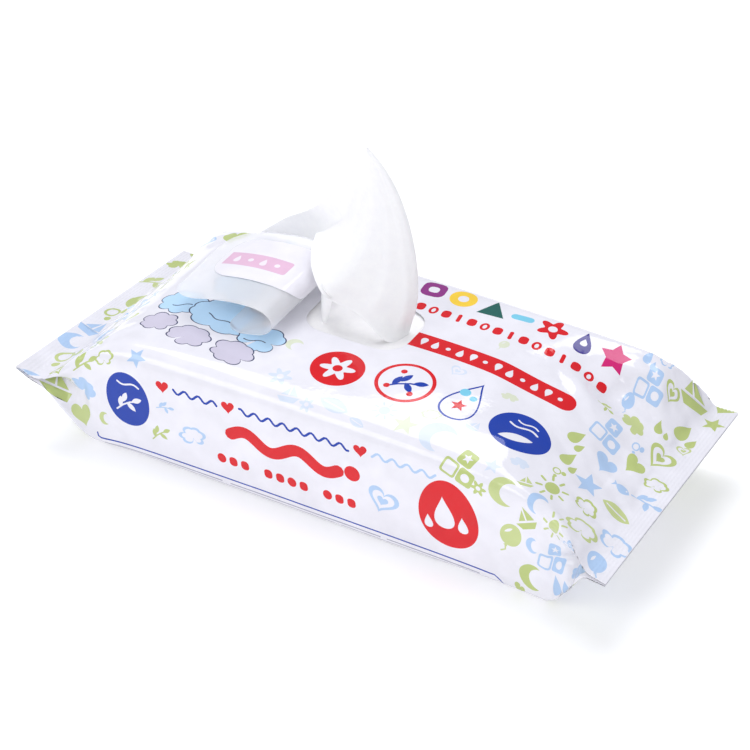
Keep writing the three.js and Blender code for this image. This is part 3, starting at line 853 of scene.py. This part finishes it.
def thicken(p, n, tris, thick):
    """Two skins, p and p - n * thick, closed along the open edges. Returns points, normals, faces, and for each face the face it was made from."""
    m = len(p)
    pts = np.vstack([p, p - n * thick])
    nrm = np.vstack([n, -n])
    t = np.asarray(tris)
    e = np.concatenate([t[:, [0, 1]], t[:, [1, 2]], t[:, [2, 0]]])
    src = np.tile(np.arange(len(t)), 3)
    key = np.sort(e, 1)
    _, first, count = np.unique(key, axis=0, return_index=True, return_counts=True)
    rim = first[count == 1]
    a, b, s = e[rim, 0], e[rim, 1], src[rim]
    walls = np.concatenate([np.stack([b, a, a + m], 1), np.stack([b, a + m, b + m], 1)])
    faces = np.vstack([t, t[:, ::-1] + m, walls])
    return pts, nrm, faces, np.concatenate([np.arange(len(t)), np.arange(len(t)), s, s]), len(t)


def winding(poly, pts):
    """Winding number of a closed outline round each point."""
    n = np.zeros(len(pts), int)
    x, y = pts[:, 0], pts[:, 1]
    for (x0, y0), (x1, y1) in zip(poly, np.roll(poly, -1, 0)):
        left = (x1 - x0) * (y - y0) - (x - x0) * (y1 - y0)
        n += ((y0 <= y) & (y1 > y) & (left > 0)).astype(int)
        n -= ((y0 > y) & (y1 <= y) & (left < 0)).astype(int)
    return n


def cdt(points, outlines):
    """Triangles over points and closed outlines, none crossing an outline. Returns the points, triangles and the top outline of each (-1 for none)."""
    outlines = [np.asarray(p, float) for p in outlines]
    coords, edges = [], []
    for p in outlines:
        start, m = len(coords), len(p)
        coords += [tuple(q) for q in p]
        edges += [(start + k, start + (k + 1) % m) for k in range(m)]
    # loose points that crowd an outline make slivers, so they go
    tree = KDTree(len(coords))
    for k, q in enumerate(coords):
        tree.insert((q[0], q[1], 0), k)
    tree.balance()
    loose = [tuple(q) for q in points if tree.find((q[0], q[1], 0))[2] > 0.55]
    out = delaunay_2d_cdt([Vector(q) for q in coords + loose], edges, [], 0, 1e-5, False)
    v = np.array([tuple(q) for q in out[0]])
    tris = np.array([f for f in out[2] if len(f) == 3])
    mid = v[tris].mean(1)
    top = np.full(len(tris), -1)
    for k, p in enumerate(outlines):
        lo, hi = p.min(0), p.max(0)
        near = np.where(((mid >= lo) & (mid <= hi)).all(1))[0]
        top[near[winding(p, mid[near]) != 0]] = k
    return v, tris, top


# ---- film
OPEN_C, OPEN_L, OPEN_W, OPEN_R = (-9.0, 8.25), 44.0, 29.5, 10.0
half_top = 150.0 / 147.4  # flat v for one mm of y on the top
opening = rounded(OPEN_L, OPEN_W, OPEN_R, 0.9) * [1, half_top] + [OPEN_C[0], -OPEN_C[1] * half_top]

step = 1.7
loose = []
rows = np.arange(-HALF_U + step, HALF_U - step / 2, step)
for k, u in enumerate(rows):
    off = step / 2 if k % 2 else 0
    for v in np.arange(-HALF_V + step / 2 + off, HALF_V - step / 3, step):
        if abs(u) < 126.6:
            loose.append((u, v))
for sgn in (-1, 1):
    for k, u in enumerate(np.arange(127.6, HALF_U - 0.2, 0.3625)):
        for v in np.arange(-HALF_V + 1.6 + (1.4 if k % 2 else 0), HALF_V - 1, 2.8):
            loose.append((sgn * u, v))
# long plain edges, so that both long sides of the sheet have the same points and can be joined
side_u = np.linspace(-HALF_U, HALF_U, 170)
side_v = np.linspace(-HALF_V, HALF_V, 190)
sheet = np.vstack([np.stack([side_u[:-1], np.full(169, -HALF_V)], 1), np.stack([np.full(189, HALF_U), side_v[:-1]], 1), np.stack([side_u[:0:-1], np.full(169, HALF_V)], 1), np.stack([np.full(189, -HALF_U), side_v[:0:-1]], 1)])
inside = []
for p, ink in SHAPES:
    q = np.stack([np.clip(p[:, 0], -HALF_U + 0.3, HALF_U - 0.3), np.clip(p[:, 1], -HALF_V + 0.3, HALF_V - 0.3)], 1)
    inside.append(q)
fv, ft, ftop = cdt(loose, [sheet] + inside + [opening])
cut = len(inside) + 1
keep = (ftop >= 0) & (ftop != cut)
ft, ftop = ft[keep], ftop[keep]
used = np.unique(ft)
back = np.full(len(fv), -1)
back[used] = np.arange(len(used))
fv, ft = fv[used], back[ft]
fp, fn = on_film(fv[:, 0], fv[:, 1])
fn *= FLIP
# crimped fins: fine ridges across the seal
seal = smooth(127.6, 128.6, np.abs(fv[:, 0]))
fp[:, 2] += seal * 0.07 * np.sin(2 * math.pi * (np.abs(fv[:, 0]) - 128) / 1.45)
slope = seal * 0.07 * 2 * math.pi / 1.45 * np.cos(2 * math.pi * (np.abs(fv[:, 0]) - 128) / 1.45) * np.sign(fv[:, 0])
fn[:, 0] -= slope * np.sign(fn[:, 2]) * np.abs(fn[:, 2])
fn /= np.linalg.norm(fn, axis=1, keepdims=True)
# triangles face out
a, b, c = (fp[ft[:, k]] for k in range(3))
if (np.cross(b - a, c - a) * fn[ft[:, 0]]).sum() < 0:
    ft = ft[:, ::-1]
inks = np.array([INK["white"]] + [INK[i] for _, i in SHAPES])
face_ink = inks[np.minimum(ftop, len(SHAPES))]
# join the two long sides under the pack
lo, hi = np.where(np.abs(fv[:, 1] + HALF_V) < 1e-6)[0], np.where(np.abs(fv[:, 1] - HALF_V) < 1e-6)[0]
lo, hi = lo[np.argsort(fv[lo, 0])], hi[np.argsort(fv[hi, 0])]
flat_uv = fv[ft].reshape(-1, 2)
if len(lo) == len(hi):
    swap = np.arange(len(fv))
    swap[hi] = lo
    ft = swap[ft]
pts, nrm, faces, src, nt = thicken(fp, fn, ft, 0.14)


def film_uv(faces, src, nt):
    """Flat layout: the printed face on the left of the square, the plain inside and rims in a strip at its side."""
    per = flat_uv.reshape(-1, 3, 2)
    s = 1.0 / (2 * HALF_V + 4)
    out = np.zeros((len(faces), 3, 2))
    base = per[src]
    out[:nt] = (base[:nt] + [HALF_U + 1, HALF_V + 2]) * s
    inner = base[nt:] * 0.08
    out[nt:] = (inner + [HALF_U * 2 + 16, HALF_V]) * s
    return out




# ------------------------------------------------------------------ materials


def shader(name):
    m = bpy.data.materials.new(name)
    m.use_nodes = True
    t = m.node_tree
    t.nodes.clear()
    out, b = t.nodes.new("ShaderNodeOutputMaterial"), t.nodes.new("ShaderNodeBsdfPrincipled")
    t.links.new(b.outputs[0], out.inputs[0])
    return m, t, b


def noise(t, scale, detail=3.0, rough=0.5, stretch=None):
    co = t.nodes.new("ShaderNodeTexCoord")
    n = t.nodes.new("ShaderNodeTexNoise")
    n.inputs["Scale"].default_value = scale
    n.inputs["Detail"].default_value = detail
    n.inputs["Roughness"].default_value = rough
    if stretch:
        mp = t.nodes.new("ShaderNodeMapping")
        mp.inputs["Scale"].default_value = stretch
        t.links.new(co.outputs["Object"], mp.inputs[0])
        t.links.new(mp.outputs[0], n.inputs[0])
    else:
        t.links.new(co.outputs["Object"], n.inputs[0])
    return n.outputs[0]


def ranged(t, value, lo, hi, a=0.3, b=0.7):
    r = t.nodes.new("ShaderNodeMapRange")
    for k, x in zip(("From Min", "From Max", "To Min", "To Max"), (a, b, lo, hi)):
        r.inputs[k].default_value = x
    t.links.new(value, r.inputs["Value"])
    return r.outputs[0]


def bumped(t, b, height, strength, distance):
    n = t.nodes.new("ShaderNodeBump")
    n.inputs["Strength"].default_value = strength
    n.inputs["Distance"].default_value = distance
    t.links.new(height, n.inputs["Height"])
    t.links.new(n.outputs[0], b.inputs["Normal"])


def tinted(t, b, colour, factor, amount):
    """Colour times a slow variation."""
    m = t.nodes.new("ShaderNodeMix")
    m.data_type, m.blend_type = "RGBA", "MULTIPLY"
    m.inputs[0].default_value = amount
    t.links.new(colour, m.inputs[6])
    t.links.new(factor, m.inputs[7])
    t.links.new(m.outputs[2], b.inputs["Base Color"])


def ramp(t, value, stops):
    r = t.nodes.new("ShaderNodeValToRGB")
    e = r.color_ramp.elements
    while len(e) < len(stops):
        e.new(0.5)
    for k, (at, c) in zip(e, stops):
        k.position, k.color = at, tuple(c) + (1,)
    t.links.new(value, r.inputs[0])
    return r.outputs[0]


FILM_MAT, t, b = shader("printed_film")
ink = t.nodes.new("ShaderNodeVertexColor")
ink.layer_name = "Print"
tinted(t, b, ink.outputs[0], ranged(t, noise(t, 110, 4), 0.93, 1.0), 1.0)
t.links.new(ranged(t, noise(t, 55, 3), 0.04, 0.10), b.inputs["Roughness"])
b.inputs["IOR"].default_value = 1.44
bumped(t, b, noise(t, 420, 2, 0.4), 0.10, 0.0004)

LABEL_MAT, t, b = shader("frosted_label_film")
t.links.new(ramp(t, noise(t, 130, 3), [(0.3, srgb(250, 250, 253)), (0.7, srgb(254, 254, 255))]), b.inputs["Base Color"])
b.inputs["Transmission Weight"].default_value = 0.3
b.inputs["Alpha"].default_value = 0.46
b.inputs["IOR"].default_value = 1.46
t.links.new(ranged(t, noise(t, 240, 3), 0.38, 0.48), b.inputs["Roughness"])
bumped(t, b, noise(t, 700, 2, 0.5), 0.08, 0.0002)


def nonwoven(name, lo, hi, sss):
    m, t, b = shader(name)
    fibres = noise(t, 1500, 4, 0.65, (1.0, 0.22, 1.0))
    cloudy = noise(t, 260, 4, 0.6)
    t.links.new(ramp(t, cloudy, [(0.28, srgb(*lo)), (0.72, srgb(*hi))]), b.inputs["Base Color"])
    t.links.new(ranged(t, fibres, 0.72, 0.92), b.inputs["Roughness"])
    b.inputs["IOR"].default_value = 1.4
    b.inputs["Sheen Weight"].default_value = 0.12
    b.inputs["Sheen Roughness"].default_value = 0.5
    if sss:
        b.inputs["Subsurface Weight"].default_value = sss
        b.inputs["Subsurface Radius"].default_value = (1.0, 1.0, 1.0)
        b.inputs["Subsurface Scale"].default_value = 0.002
    add = t.nodes.new("ShaderNodeMath")
    add.operation = "ADD"
    t.links.new(fibres, add.inputs[0])
    t.links.new(cloudy, add.inputs[1])
    bumped(t, b, add.outputs[0], 0.22, 0.0004)
    return m


WIPE_MAT = nonwoven("nonwoven_wipe", (246, 246, 248), (252, 252, 252), 0.3)
STACK_MAT = nonwoven("nonwoven_stack", (246, 245, 246), (254, 253, 252), 0.0)

# ------------------------------------------------------------------ film
inner = np.array(srgb(234, 234, 240))
film_inks = face_ink[src]
film_inks[nt:] = inner
film = build("film_sleeve", pts, faces, nrm, film_inks, film_uv(faces, src, nt), [FILM_MAT], skins=2 * nt)
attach(film, "root")
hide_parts("film_wrapper")


def film_at(x, y, rounds=8):
    """The film's top over x, y: point and normal."""
    x, y = np.broadcast_arrays(np.asarray(x, float), np.asarray(y, float))
    u, v = x.copy(), -y.copy()
    for _ in range(rounds):
        p, n = on_film(u, v)
        u += x - p[..., 0]
        v -= y - p[..., 1]
    return on_film(u, v)[0], on_film(u, v)[1] * FLIP


def grid_tris(a, b):
    i = np.arange(a * b).reshape(a, b)
    q = np.stack([i[:-1, :-1], i[1:, :-1], i[1:, 1:], i[:-1, 1:]], -1).reshape(-1, 4)
    return np.vstack([q[:, [0, 1, 2]], q[:, [0, 2, 3]]])


def grid_normals(g):
    n = np.cross(np.gradient(g, axis=0), np.gradient(g, axis=1))
    return n / np.maximum(np.linalg.norm(n, axis=2, keepdims=True), 1e-9)


# ------------------------------------------------------------------ label
zf = float(top_middle(-44)) + 0.35
zs = zf - 0.35
LABEL_PATH = spline([(-55, zs + 0.4), (-48, zs + 0.45), (-42, zf + 0.7), (-36.6, zf + 2.5), (-33.5, zf + 5.7), (-33.2, zf + 9), (-35.6, zf + 11.8), (-40, zf + 13), (-48, zf + 13.1), (-57, zf + 12.3), (-66, zf + 10.6), (-74, zf + 8.2), (-81, zf + 5.5)], 400)
along = np.concatenate([[0], np.cumsum(np.linalg.norm(np.diff(LABEL_PATH, axis=0), axis=1))])
LABEL_LONG = along[-1]
LY0, LY1, LR = -22.0, 30.0, 13.0


def on_label(s, y):
    """Point of the label at path length s and width position y."""
    x, z = np.interp(s, along, LABEL_PATH[:, 0]), np.interp(s, along, LABEL_PATH[:, 1])
    stuck = 1 - smooth(5, 13, s)
    p, _ = film_at(x, y)
    z = z + stuck * (p[..., 2] + 0.14 - z)
    far = smooth(34, LABEL_LONG, s)
    q = (y - 4) / 26
    z = z - far * 1.3 * q**2 + far * 0.7 * np.sin(q * 2.3 + 0.4) + 0.25 * far * np.sin(s / 7.0 + y / 9.0)
    z = z + 1.4 * smooth(62, LABEL_LONG, s) * smooth(-6, -22, y)
    return np.stack([x + 0.25 * np.sin(y / 8.5) * smooth(12, 30, s), y, z], -1)


ys = np.linspace(LY0, LY1, 61)
dy = np.maximum(np.maximum(LY0 + LR - ys, ys - (LY1 - LR)), 0)
longs = LABEL_LONG - (LR - np.sqrt(np.maximum(LR**2 - dy**2, 0)))
dz = np.maximum(np.maximum(LY0 + 7 - ys, ys - (LY1 - 7)), 0)
starts = 7 - np.sqrt(np.maximum(49 - dz**2, 0))
S = starts[None, :] + np.linspace(0, 1, 121)[:, None] * (longs - starts)[None, :]
g = on_label(S, np.broadcast_to(ys[None, :], S.shape))
n = grid_normals(g)
tr = grid_tris(*S.shape)
lp, ln, lf, _, lt = thicken(g.reshape(-1, 3), n.reshape(-1, 3), tr, 0.22)
label = build("peel_label", lp, lf, ln, mats=[LABEL_MAT], skins=2 * lt)
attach(label, "root")
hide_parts("reseal_label")


def label_normal(s, y):
    e = 0.3
    a = on_label(s + e, y) - on_label(s - e, y)
    c = on_label(s, y + e) - on_label(s, y - e)
    m = np.cross(a, c)
    return m / np.linalg.norm(m, axis=-1, keepdims=True)


# ---- the film cut out of the opening, left on the sticky side of the label
S0 = 24.0
cut_line = rounded(OPEN_L - 0.6, OPEN_W - 0.6, OPEN_R - 0.3, 0.9) + [S0 + 22, OPEN_C[1]]
band = rounded(60, 9.0, 1.2) + [S0 + 13 + 30, 6.5]
marks = []
for i in range(4):
    marks.append((drop(4.8) if i % 2 else ellipse(1.2, 1.2)) + [S0 + 18.5 + i * 6.0, 6.5])


def clip_to(poly, lo, hi):
    return np.stack([np.clip(poly[:, 0], lo[0], hi[0]), np.clip(poly[:, 1], lo[1], hi[1])], 1)


inner_band = clip_to(band, (S0 + 13, 2.0), (S0 + 41.5, 11.0))
pl = [(s, y) for s in np.arange(S0 + 0.8, S0 + 43.6, 0.9) for y in np.arange(-6, 22.8, 0.9)]
pl = [q for q in pl if abs(q[0] - S0 - 22) < 21 or abs(q[1] - OPEN_C[1]) < 8]
pv, pt, ptop = cdt(pl, [cut_line, inner_band] + marks)
ok = ptop >= 0
pt, ptop = pt[ok], ptop[ok]
used = np.unique(pt)
back = np.full(len(pv), -1)
back[used] = np.arange(len(used))
pv, pt = pv[used], back[pt]
pn = label_normal(pv[:, 0], pv[:, 1])
side = 1.0 if label_normal(np.array([50.0]), np.array([4.0]))[0, 2] > 0 else -1.0
pp = on_label(pv[:, 0], pv[:, 1]) + side * pn * ((0.30 if side > 0 else 0.52) + 0.1 * np.sin(pv[:, :1] / 6.0) ** 2)
pn = side * pn
a, c, d = (pp[pt[:, k]] for k in range(3))
if (np.cross(c - a, d - a) * pn[pt[:, 0]]).sum() < 0:
    pt = pt[:, ::-1]
tints = np.array([srgb(237, 235, 242), srgb(226, 186, 212)] + [srgb(238, 230, 238)] * len(marks))
qp, qn, qf, qsrc, qnt = thicken(pp, pn, pt, 0.12)
qi = tints[np.minimum(ptop, len(tints) - 1)][qsrc]
qi[qnt:] = inner
patch = build("cut_film_patch", qp, qf, qn, qi, mats=[FILM_MAT], skins=2 * qnt)
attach(patch, "root")

# ------------------------------------------------------------------ drawn wipe
FOOT = [(-79, 43.4, 51.2), (-68, 44, 53.6), (-58, 42, 56), (-50, 37.5, 60.5), (-44.5, 32, 68.4), (-37.5, 17, 71.8), (-29.5, 4.2, 71.5), (-22, -1, 66.5), (-16, 0.6, 62.6), (-9.7, 1.9, 60.5), (-2.4, 1.4, 57), (2.2, 1, 53.4), (5.4, 3, 50.4), (8, 6.5, 50), (9.4, 10.5, 50)]
LEFT = [(-79, 43.4, 51.2), (-72.2, 43.6, 57.2), (-64.4, 42.5, 64.2), (-56.2, 40.5, 70.3), (-48.3, 37.5, 77.2), (-39.3, 34, 87.5), (-29.6, 29, 101), (-22.9, 25, 112.8), (-17.7, 22.4, 121.2)]
RIGHT = [(9.4, 10.5, 50), (10.8, 10.4, 56), (12.2, 11, 63), (11.3, 13, 71.6), (8.8, 15, 81), (5, 17, 90.9), (0.4, 19, 100), (-4.8, 20.5, 108.7), (-10.9, 21.5, 116.5), (-15.9, 22, 121.4)]
NS, NT = ((240, 110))
FT, LF, RT = spline(FOOT, 800), spline(LEFT, 800), spline(RIGHT, 800)


def at(line, t):
    k = np.linspace(0, 1, len(line))
    return np.stack([np.interp(t, k, line[:, i]) for i in range(3)], -1)


def fold_radius(t):
    return 0.45 + 1.7 * np.sin(math.pi * np.clip(0.2 + 0.8 * t, 0, 1)) ** 0.8


def front_layer(s, t):
    """The wipe's front layer: s from the left edge to the right fold, t from the foot to the peak."""
    lo, hi = at(LF, t), at(RT, t)
    e = hi - lo
    w = np.linalg.norm(e, axis=-1, keepdims=True)
    hi = hi - e / w * np.minimum(fold_radius(t)[..., None], w * 0.3)
    k = s[..., None]
    f0, f1 = FT[0], FT[-1]
    p = lo * (1 - k) + hi * k + (at(FT, s) - (f0 * (1 - k) + f1 * k)) * (1 - t[..., None]) ** 2.4
    p[..., 1] -= 3 * np.sin(math.pi * s) * np.sin(math.pi * t)
    # soft pleats fanning out above the opening
    down = (1 - t) ** 1.15
    win = smooth(0.74, 0.84, s) * (1 - smooth(0.93, 1.0, s))
    p[..., 1] -= 0.9 * down * win * np.sin(2 * math.pi * (s - 0.79) / 0.15) * smooth(0.0, 0.1, t)
    p[..., 1] -= 0.35 * np.sin(2 * math.pi * (1.7 * s + 0.15)) * np.sin(math.pi * t) ** 0.8
    p[..., 1] -= 0.12 * np.sin(2 * math.pi * (4.3 * s + 0.9 * t)) * np.sin(math.pi * t)
    return p


ss, ts = np.linspace(0, 1, NS), np.linspace(0, 1, NT) ** 1.15
sg, tg = np.meshgrid(ss, ts, indexing="ij")
front = front_layer(sg, tg)
fnrm = grid_normals(front)
if fnrm[..., 1].sum() > 0:
    fnrm = -fnrm
# the fold at the right and the layer behind it
NB = 80
edge = front[-1]
out_dir = front[-1] - front[-3]
out_dir /= np.maximum(np.linalg.norm(out_dir, axis=1, keepdims=True), 1e-9)
en = fnrm[-1] - (fnrm[-1] * out_dir).sum(1, keepdims=True) * out_dir
en /= np.linalg.norm(en, axis=1, keepdims=True)
wide = np.linalg.norm(at(RT, ts) - at(LF, ts), axis=1)
r = np.minimum(fold_radius(ts), wide * 0.3)[:, None]
turn_n = NB // 2
rows = []
for k in range(1, turn_n + 1):
    phi = math.pi * k / turn_n
    rows.append(edge - en * r + r * (math.sin(phi) * out_dir + math.cos(phi) * en))
for k in range(1, NB - turn_n + 1):
    f = k / (NB - turn_n)
    s_back = 1 - 0.40 * f
    p = front_layer(np.full(NT, s_back), ts)
    i = int(round(s_back * (NS - 1)))
    m = fnrm[i] * smooth(0, 0.35, f) + en * (1 - smooth(0, 0.35, f))
    m /= np.linalg.norm(m, axis=1, keepdims=True)
    gap = 2 * r + 1.6 * f * np.sin(math.pi * np.clip(ts, 0, 1))[:, None] + 0.5 * np.sin(9 * f + 5 * ts)[:, None] * np.sin(math.pi * ts)[:, None]
    rows.append(p - m * gap)
wipe_g = np.concatenate([front, np.array(rows)], 0)
# ease the joint between the fold and the layer behind it
for _ in range(6):
    mid = wipe_g[NS - 6 :].copy()
    mid[1:-1] = 0.5 * mid[1:-1] + 0.25 * (mid[:-2] + mid[2:])
    wipe_g[NS - 6 :] = mid
wn = grid_normals(wipe_g)
if (wn[:NS, :, 1]).sum() > 0:
    wn = -wn
wn[:, -3:] = wn[:, -4:-3]  # the tip is too narrow to have normals of its own
wt = grid_tris(*wipe_g.shape[:2])
a, c, d = (wipe_g.reshape(-1, 3)[wt[:, k]] for k in range(3))
if (np.cross(c - a, d - a) * wn.reshape(-1, 3)[wt[:, 0]]).sum() < 0:
    wt = wt[:, ::-1]
wp, wnn, wf, _, wnt = thicken(wipe_g.reshape(-1, 3), wn.reshape(-1, 3), wt, 0.45)
# the wipe's left corner, a narrow fold hanging from behind the lower edge into the opening
ag, bg = np.meshgrid(np.linspace(0, 1, 17), np.linspace(0, 1, 31), indexing="ij")
under = np.argsort(FT[:, 0])
x_top = -24.6 + 5.3 * ag
y_top, z_top = (np.interp(x_top, FT[under, 0], FT[under, k]) for k in (1, 2))
tip = smooth(0.0, 1.0, bg)
leg_g = np.stack(
    [
        x_top + (-24.3 + 1.5 * ag - x_top) * (0.35 * bg + 0.65 * bg**2.2),
        y_top + 1.3 + (0.2 - y_top - 0.7) * tip - 0.9 * np.sin(math.pi * ag) ** 0.8 * (0.4 + 0.6 * tip),
        z_top + 1.0 + (50.9 - z_top - 1.0) * bg,
    ],
    -1,
)
lgn = grid_normals(leg_g)
lgt = grid_tris(*leg_g.shape[:2])
if lgn[..., 1].sum() > 0:
    lgn = -lgn
la, lc, ld = (leg_g.reshape(-1, 3)[lgt[:, k]] for k in range(3))
if (np.cross(lc - la, ld - la) * lgn.reshape(-1, 3)[lgt[:, 0]]).sum() < 0:
    lgt = lgt[:, ::-1]
gp, gn, gf, _, gnt = thicken(leg_g.reshape(-1, 3), lgn.reshape(-1, 3), lgt, 0.45)
gf = gf + len(wp)
wf = np.vstack([wf[: 2 * wnt], gf[: 2 * gnt], wf[2 * wnt :], gf[2 * gnt :]])
wipe = build("pulled_wipe", np.vstack([wp, gp]), wf, np.vstack([wnn, gn]), mats=[WIPE_MAT], skins=2 * (wnt + gnt))
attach(wipe, "root")
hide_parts("drawn_wipe")

# ------------------------------------------------------------------ stack of folded wipes
LAYER = 1.15
us = np.linspace(-92.5, 61.5, 110)
vs = np.concatenate([np.linspace(-150, -98, 26, endpoint=False), np.linspace(-98, -50, 176, endpoint=False), np.linspace(-50, 50, 70, endpoint=False), np.linspace(50, 98, 176, endpoint=False), np.linspace(98, 150, 26, endpoint=False)])
ug, vg = np.meshgrid(us, vs, indexing="ij")
sp, sn = on_film(ug, vg)
sn = sn * FLIP
flank = smooth(46, 54, np.abs(vg)) * (1 - smooth(94, 100, np.abs(vg)))
folds = np.abs(np.sin(math.pi * sp[..., 2] / LAYER + 0.5 * np.sin(sp[..., 0] / 40)))
wob = 0.35 * noise2(ug.shape, (16, 40), 21)
inset = 1.7 + flank * (0.5 * (1 - folds) + 0.25 + wob * 0.6)
stack_g = sp - sn * inset[..., None]
on_top = smooth(52, 46, np.abs(vg))
x, y = stack_g[..., 0], stack_g[..., 1]
well = smooth(1.3, 0.5, np.sqrt(((x + 4) / 16) ** 2 + ((y - 7) / 14) ** 2))
stack_g[..., 2] -= on_top * (2.3 * well - 0.5 + 0.25 * noise2(ug.shape, (18, 44), 22))
# the next wipe's fold lies across the well
ridge = bump(x, y, -8, 15.5, 26, 2.6, 4) * on_top
stack_g[..., 2] += 1.2 * ridge
stack_g[..., 2] = np.maximum(stack_g[..., 2], 0.75)


def ring_cap(ring, sign):
    """Rounds a ring of points over to a flat end."""
    c = ring.mean(0)
    out = []
    for k in range(1, 15):
        f = k / 14
        q = c + (ring - c) * (1 - f)
        q[:, 0] = ring[:, 0] + sign * (1.6 * min(1.0, f * 6) ** 0.5 + 0.3 * np.abs(np.sin(math.pi * q[:, 2] / LAYER)))
        out.append(q)
    return out


lo_cap = ring_cap(stack_g[0], -1)
hi_cap = ring_cap(stack_g[-1], 1)
all_rings = np.array(lo_cap[::-1] + list(stack_g) + hi_cap)
nr, nv = all_rings.shape[:2]
i = np.arange(nr * nv).reshape(nr, nv)
j = np.roll(i, -1, 1)
q = np.stack([i[:-1], i[1:], j[1:], j[:-1]], -1).reshape(-1, 4)
st = np.vstack([q[:, [0, 1, 2]], q[:, [0, 2, 3]]])
flat = all_rings.reshape(-1, 3)
a, c, d = (flat[st[:, k]] for k in range(3))
vol = (a * np.cross(c, d)).sum()
if vol < 0:
    st = st[:, ::-1]
# the last ring of each cap is one point
weld = np.arange(len(flat))
weld[i[0]] = i[0, 0]
weld[i[-1]] = i[-1, 0]
st = weld[st]
st = st[(st[:, 0] != st[:, 1]) & (st[:, 1] != st[:, 2]) & (st[:, 2] != st[:, 0])]
used = np.unique(st)
back = np.full(len(flat), -1)
back[used] = np.arange(len(used))
stack = build("folded_stack", flat[used], back[st], mats=[STACK_MAT])
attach(stack, "root")
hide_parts("wipe_stack")

# ------------------------------------------------------------------ floor, light, camera
FLOOR_MAT, t, b = shader("studio_floor")
t.links.new(ramp(t, noise(t, 3, 2), [(0.3, srgb(249, 249, 249)), (0.7, srgb(252, 252, 252))]), b.inputs["Base Color"])
b.inputs["Roughness"].default_value = 0.8
b.inputs["Emission Color"].default_value = (1, 1, 1, 1)
b.inputs["Emission Strength"].default_value = 0.14
k = np.linspace(-1, 1, 25)
fx, fy = np.meshgrid(k * 4, k * 4, indexing="ij")
floor_g = np.stack([fx, fy, np.zeros_like(fx) - 0.0003], -1)
fme = bpy.data.meshes.new("floor")
fme.from_pydata(floor_g.reshape(-1, 3).tolist(), [], grid_tris(25, 25).tolist())
fme.materials.append(FLOOR_MAT)
floor = bpy.data.objects.new("floor", fme)
bpy.context.scene.collection.objects.link(floor)

scene = bpy.context.scene
world = bpy.data.worlds.new("studio")
world.use_nodes = True
scene.world = world
bg = world.node_tree.nodes["Background"]
bg.inputs[0].default_value = (0.93, 0.94, 1.0, 1)
bg.inputs[1].default_value = 0.58
scene.view_settings.view_transform = "Standard"
scene.view_settings.look = "None"


def softbox(name, at, to, size, power, colour=(1, 1, 1)):
    l = bpy.data.lights.new(name, "AREA")
    l.shape, l.size, l.size_y = "RECTANGLE", size[0], size[1]
    l.energy, l.color = power, colour
    o = bpy.data.objects.new(name, l)
    o.location = at
    o.rotation_euler = (Vector(to) - Vector(at)).to_track_quat("-Z", "Y").to_euler()
    bpy.context.scene.collection.objects.link(o)
    return o


softbox("key", (-0.62, -0.98, 0.82), (0, 0, 0.03), (0.75, 0.55), 4.2)
softbox("over", (-0.40, 0.56, 1.36), (0, 0, 0), (1.1, 0.8), 12.0, (0.97, 0.98, 1.0))
softbox("fill", (0.80, -1.02, 0.72), (0, 0, 0.06), (0.7, 0.55), 4.6)

AZ, EL, DIST = math.radians(29.2), math.radians(36.15), 1.054
TARGET = Vector((-0.0038, 0.0064, 0.0303))
away = Vector((math.sin(AZ) * math.cos(EL), -math.cos(AZ) * math.cos(EL), math.sin(EL)))
cam = bpy.data.cameras.new("camera")
cam.lens, cam.sensor_width, cam.sensor_fit = 129.6, 36.0, "HORIZONTAL"
cam.clip_start, cam.clip_end = 0.05, 30
cam_obj = bpy.data.objects.new("camera", cam)
cam_obj.location = TARGET + away * DIST
cam_obj.rotation_euler = (-away).to_track_quat("-Z", "Y").to_euler()
bpy.context.scene.collection.objects.link(cam_obj)
scene.camera = cam_obj
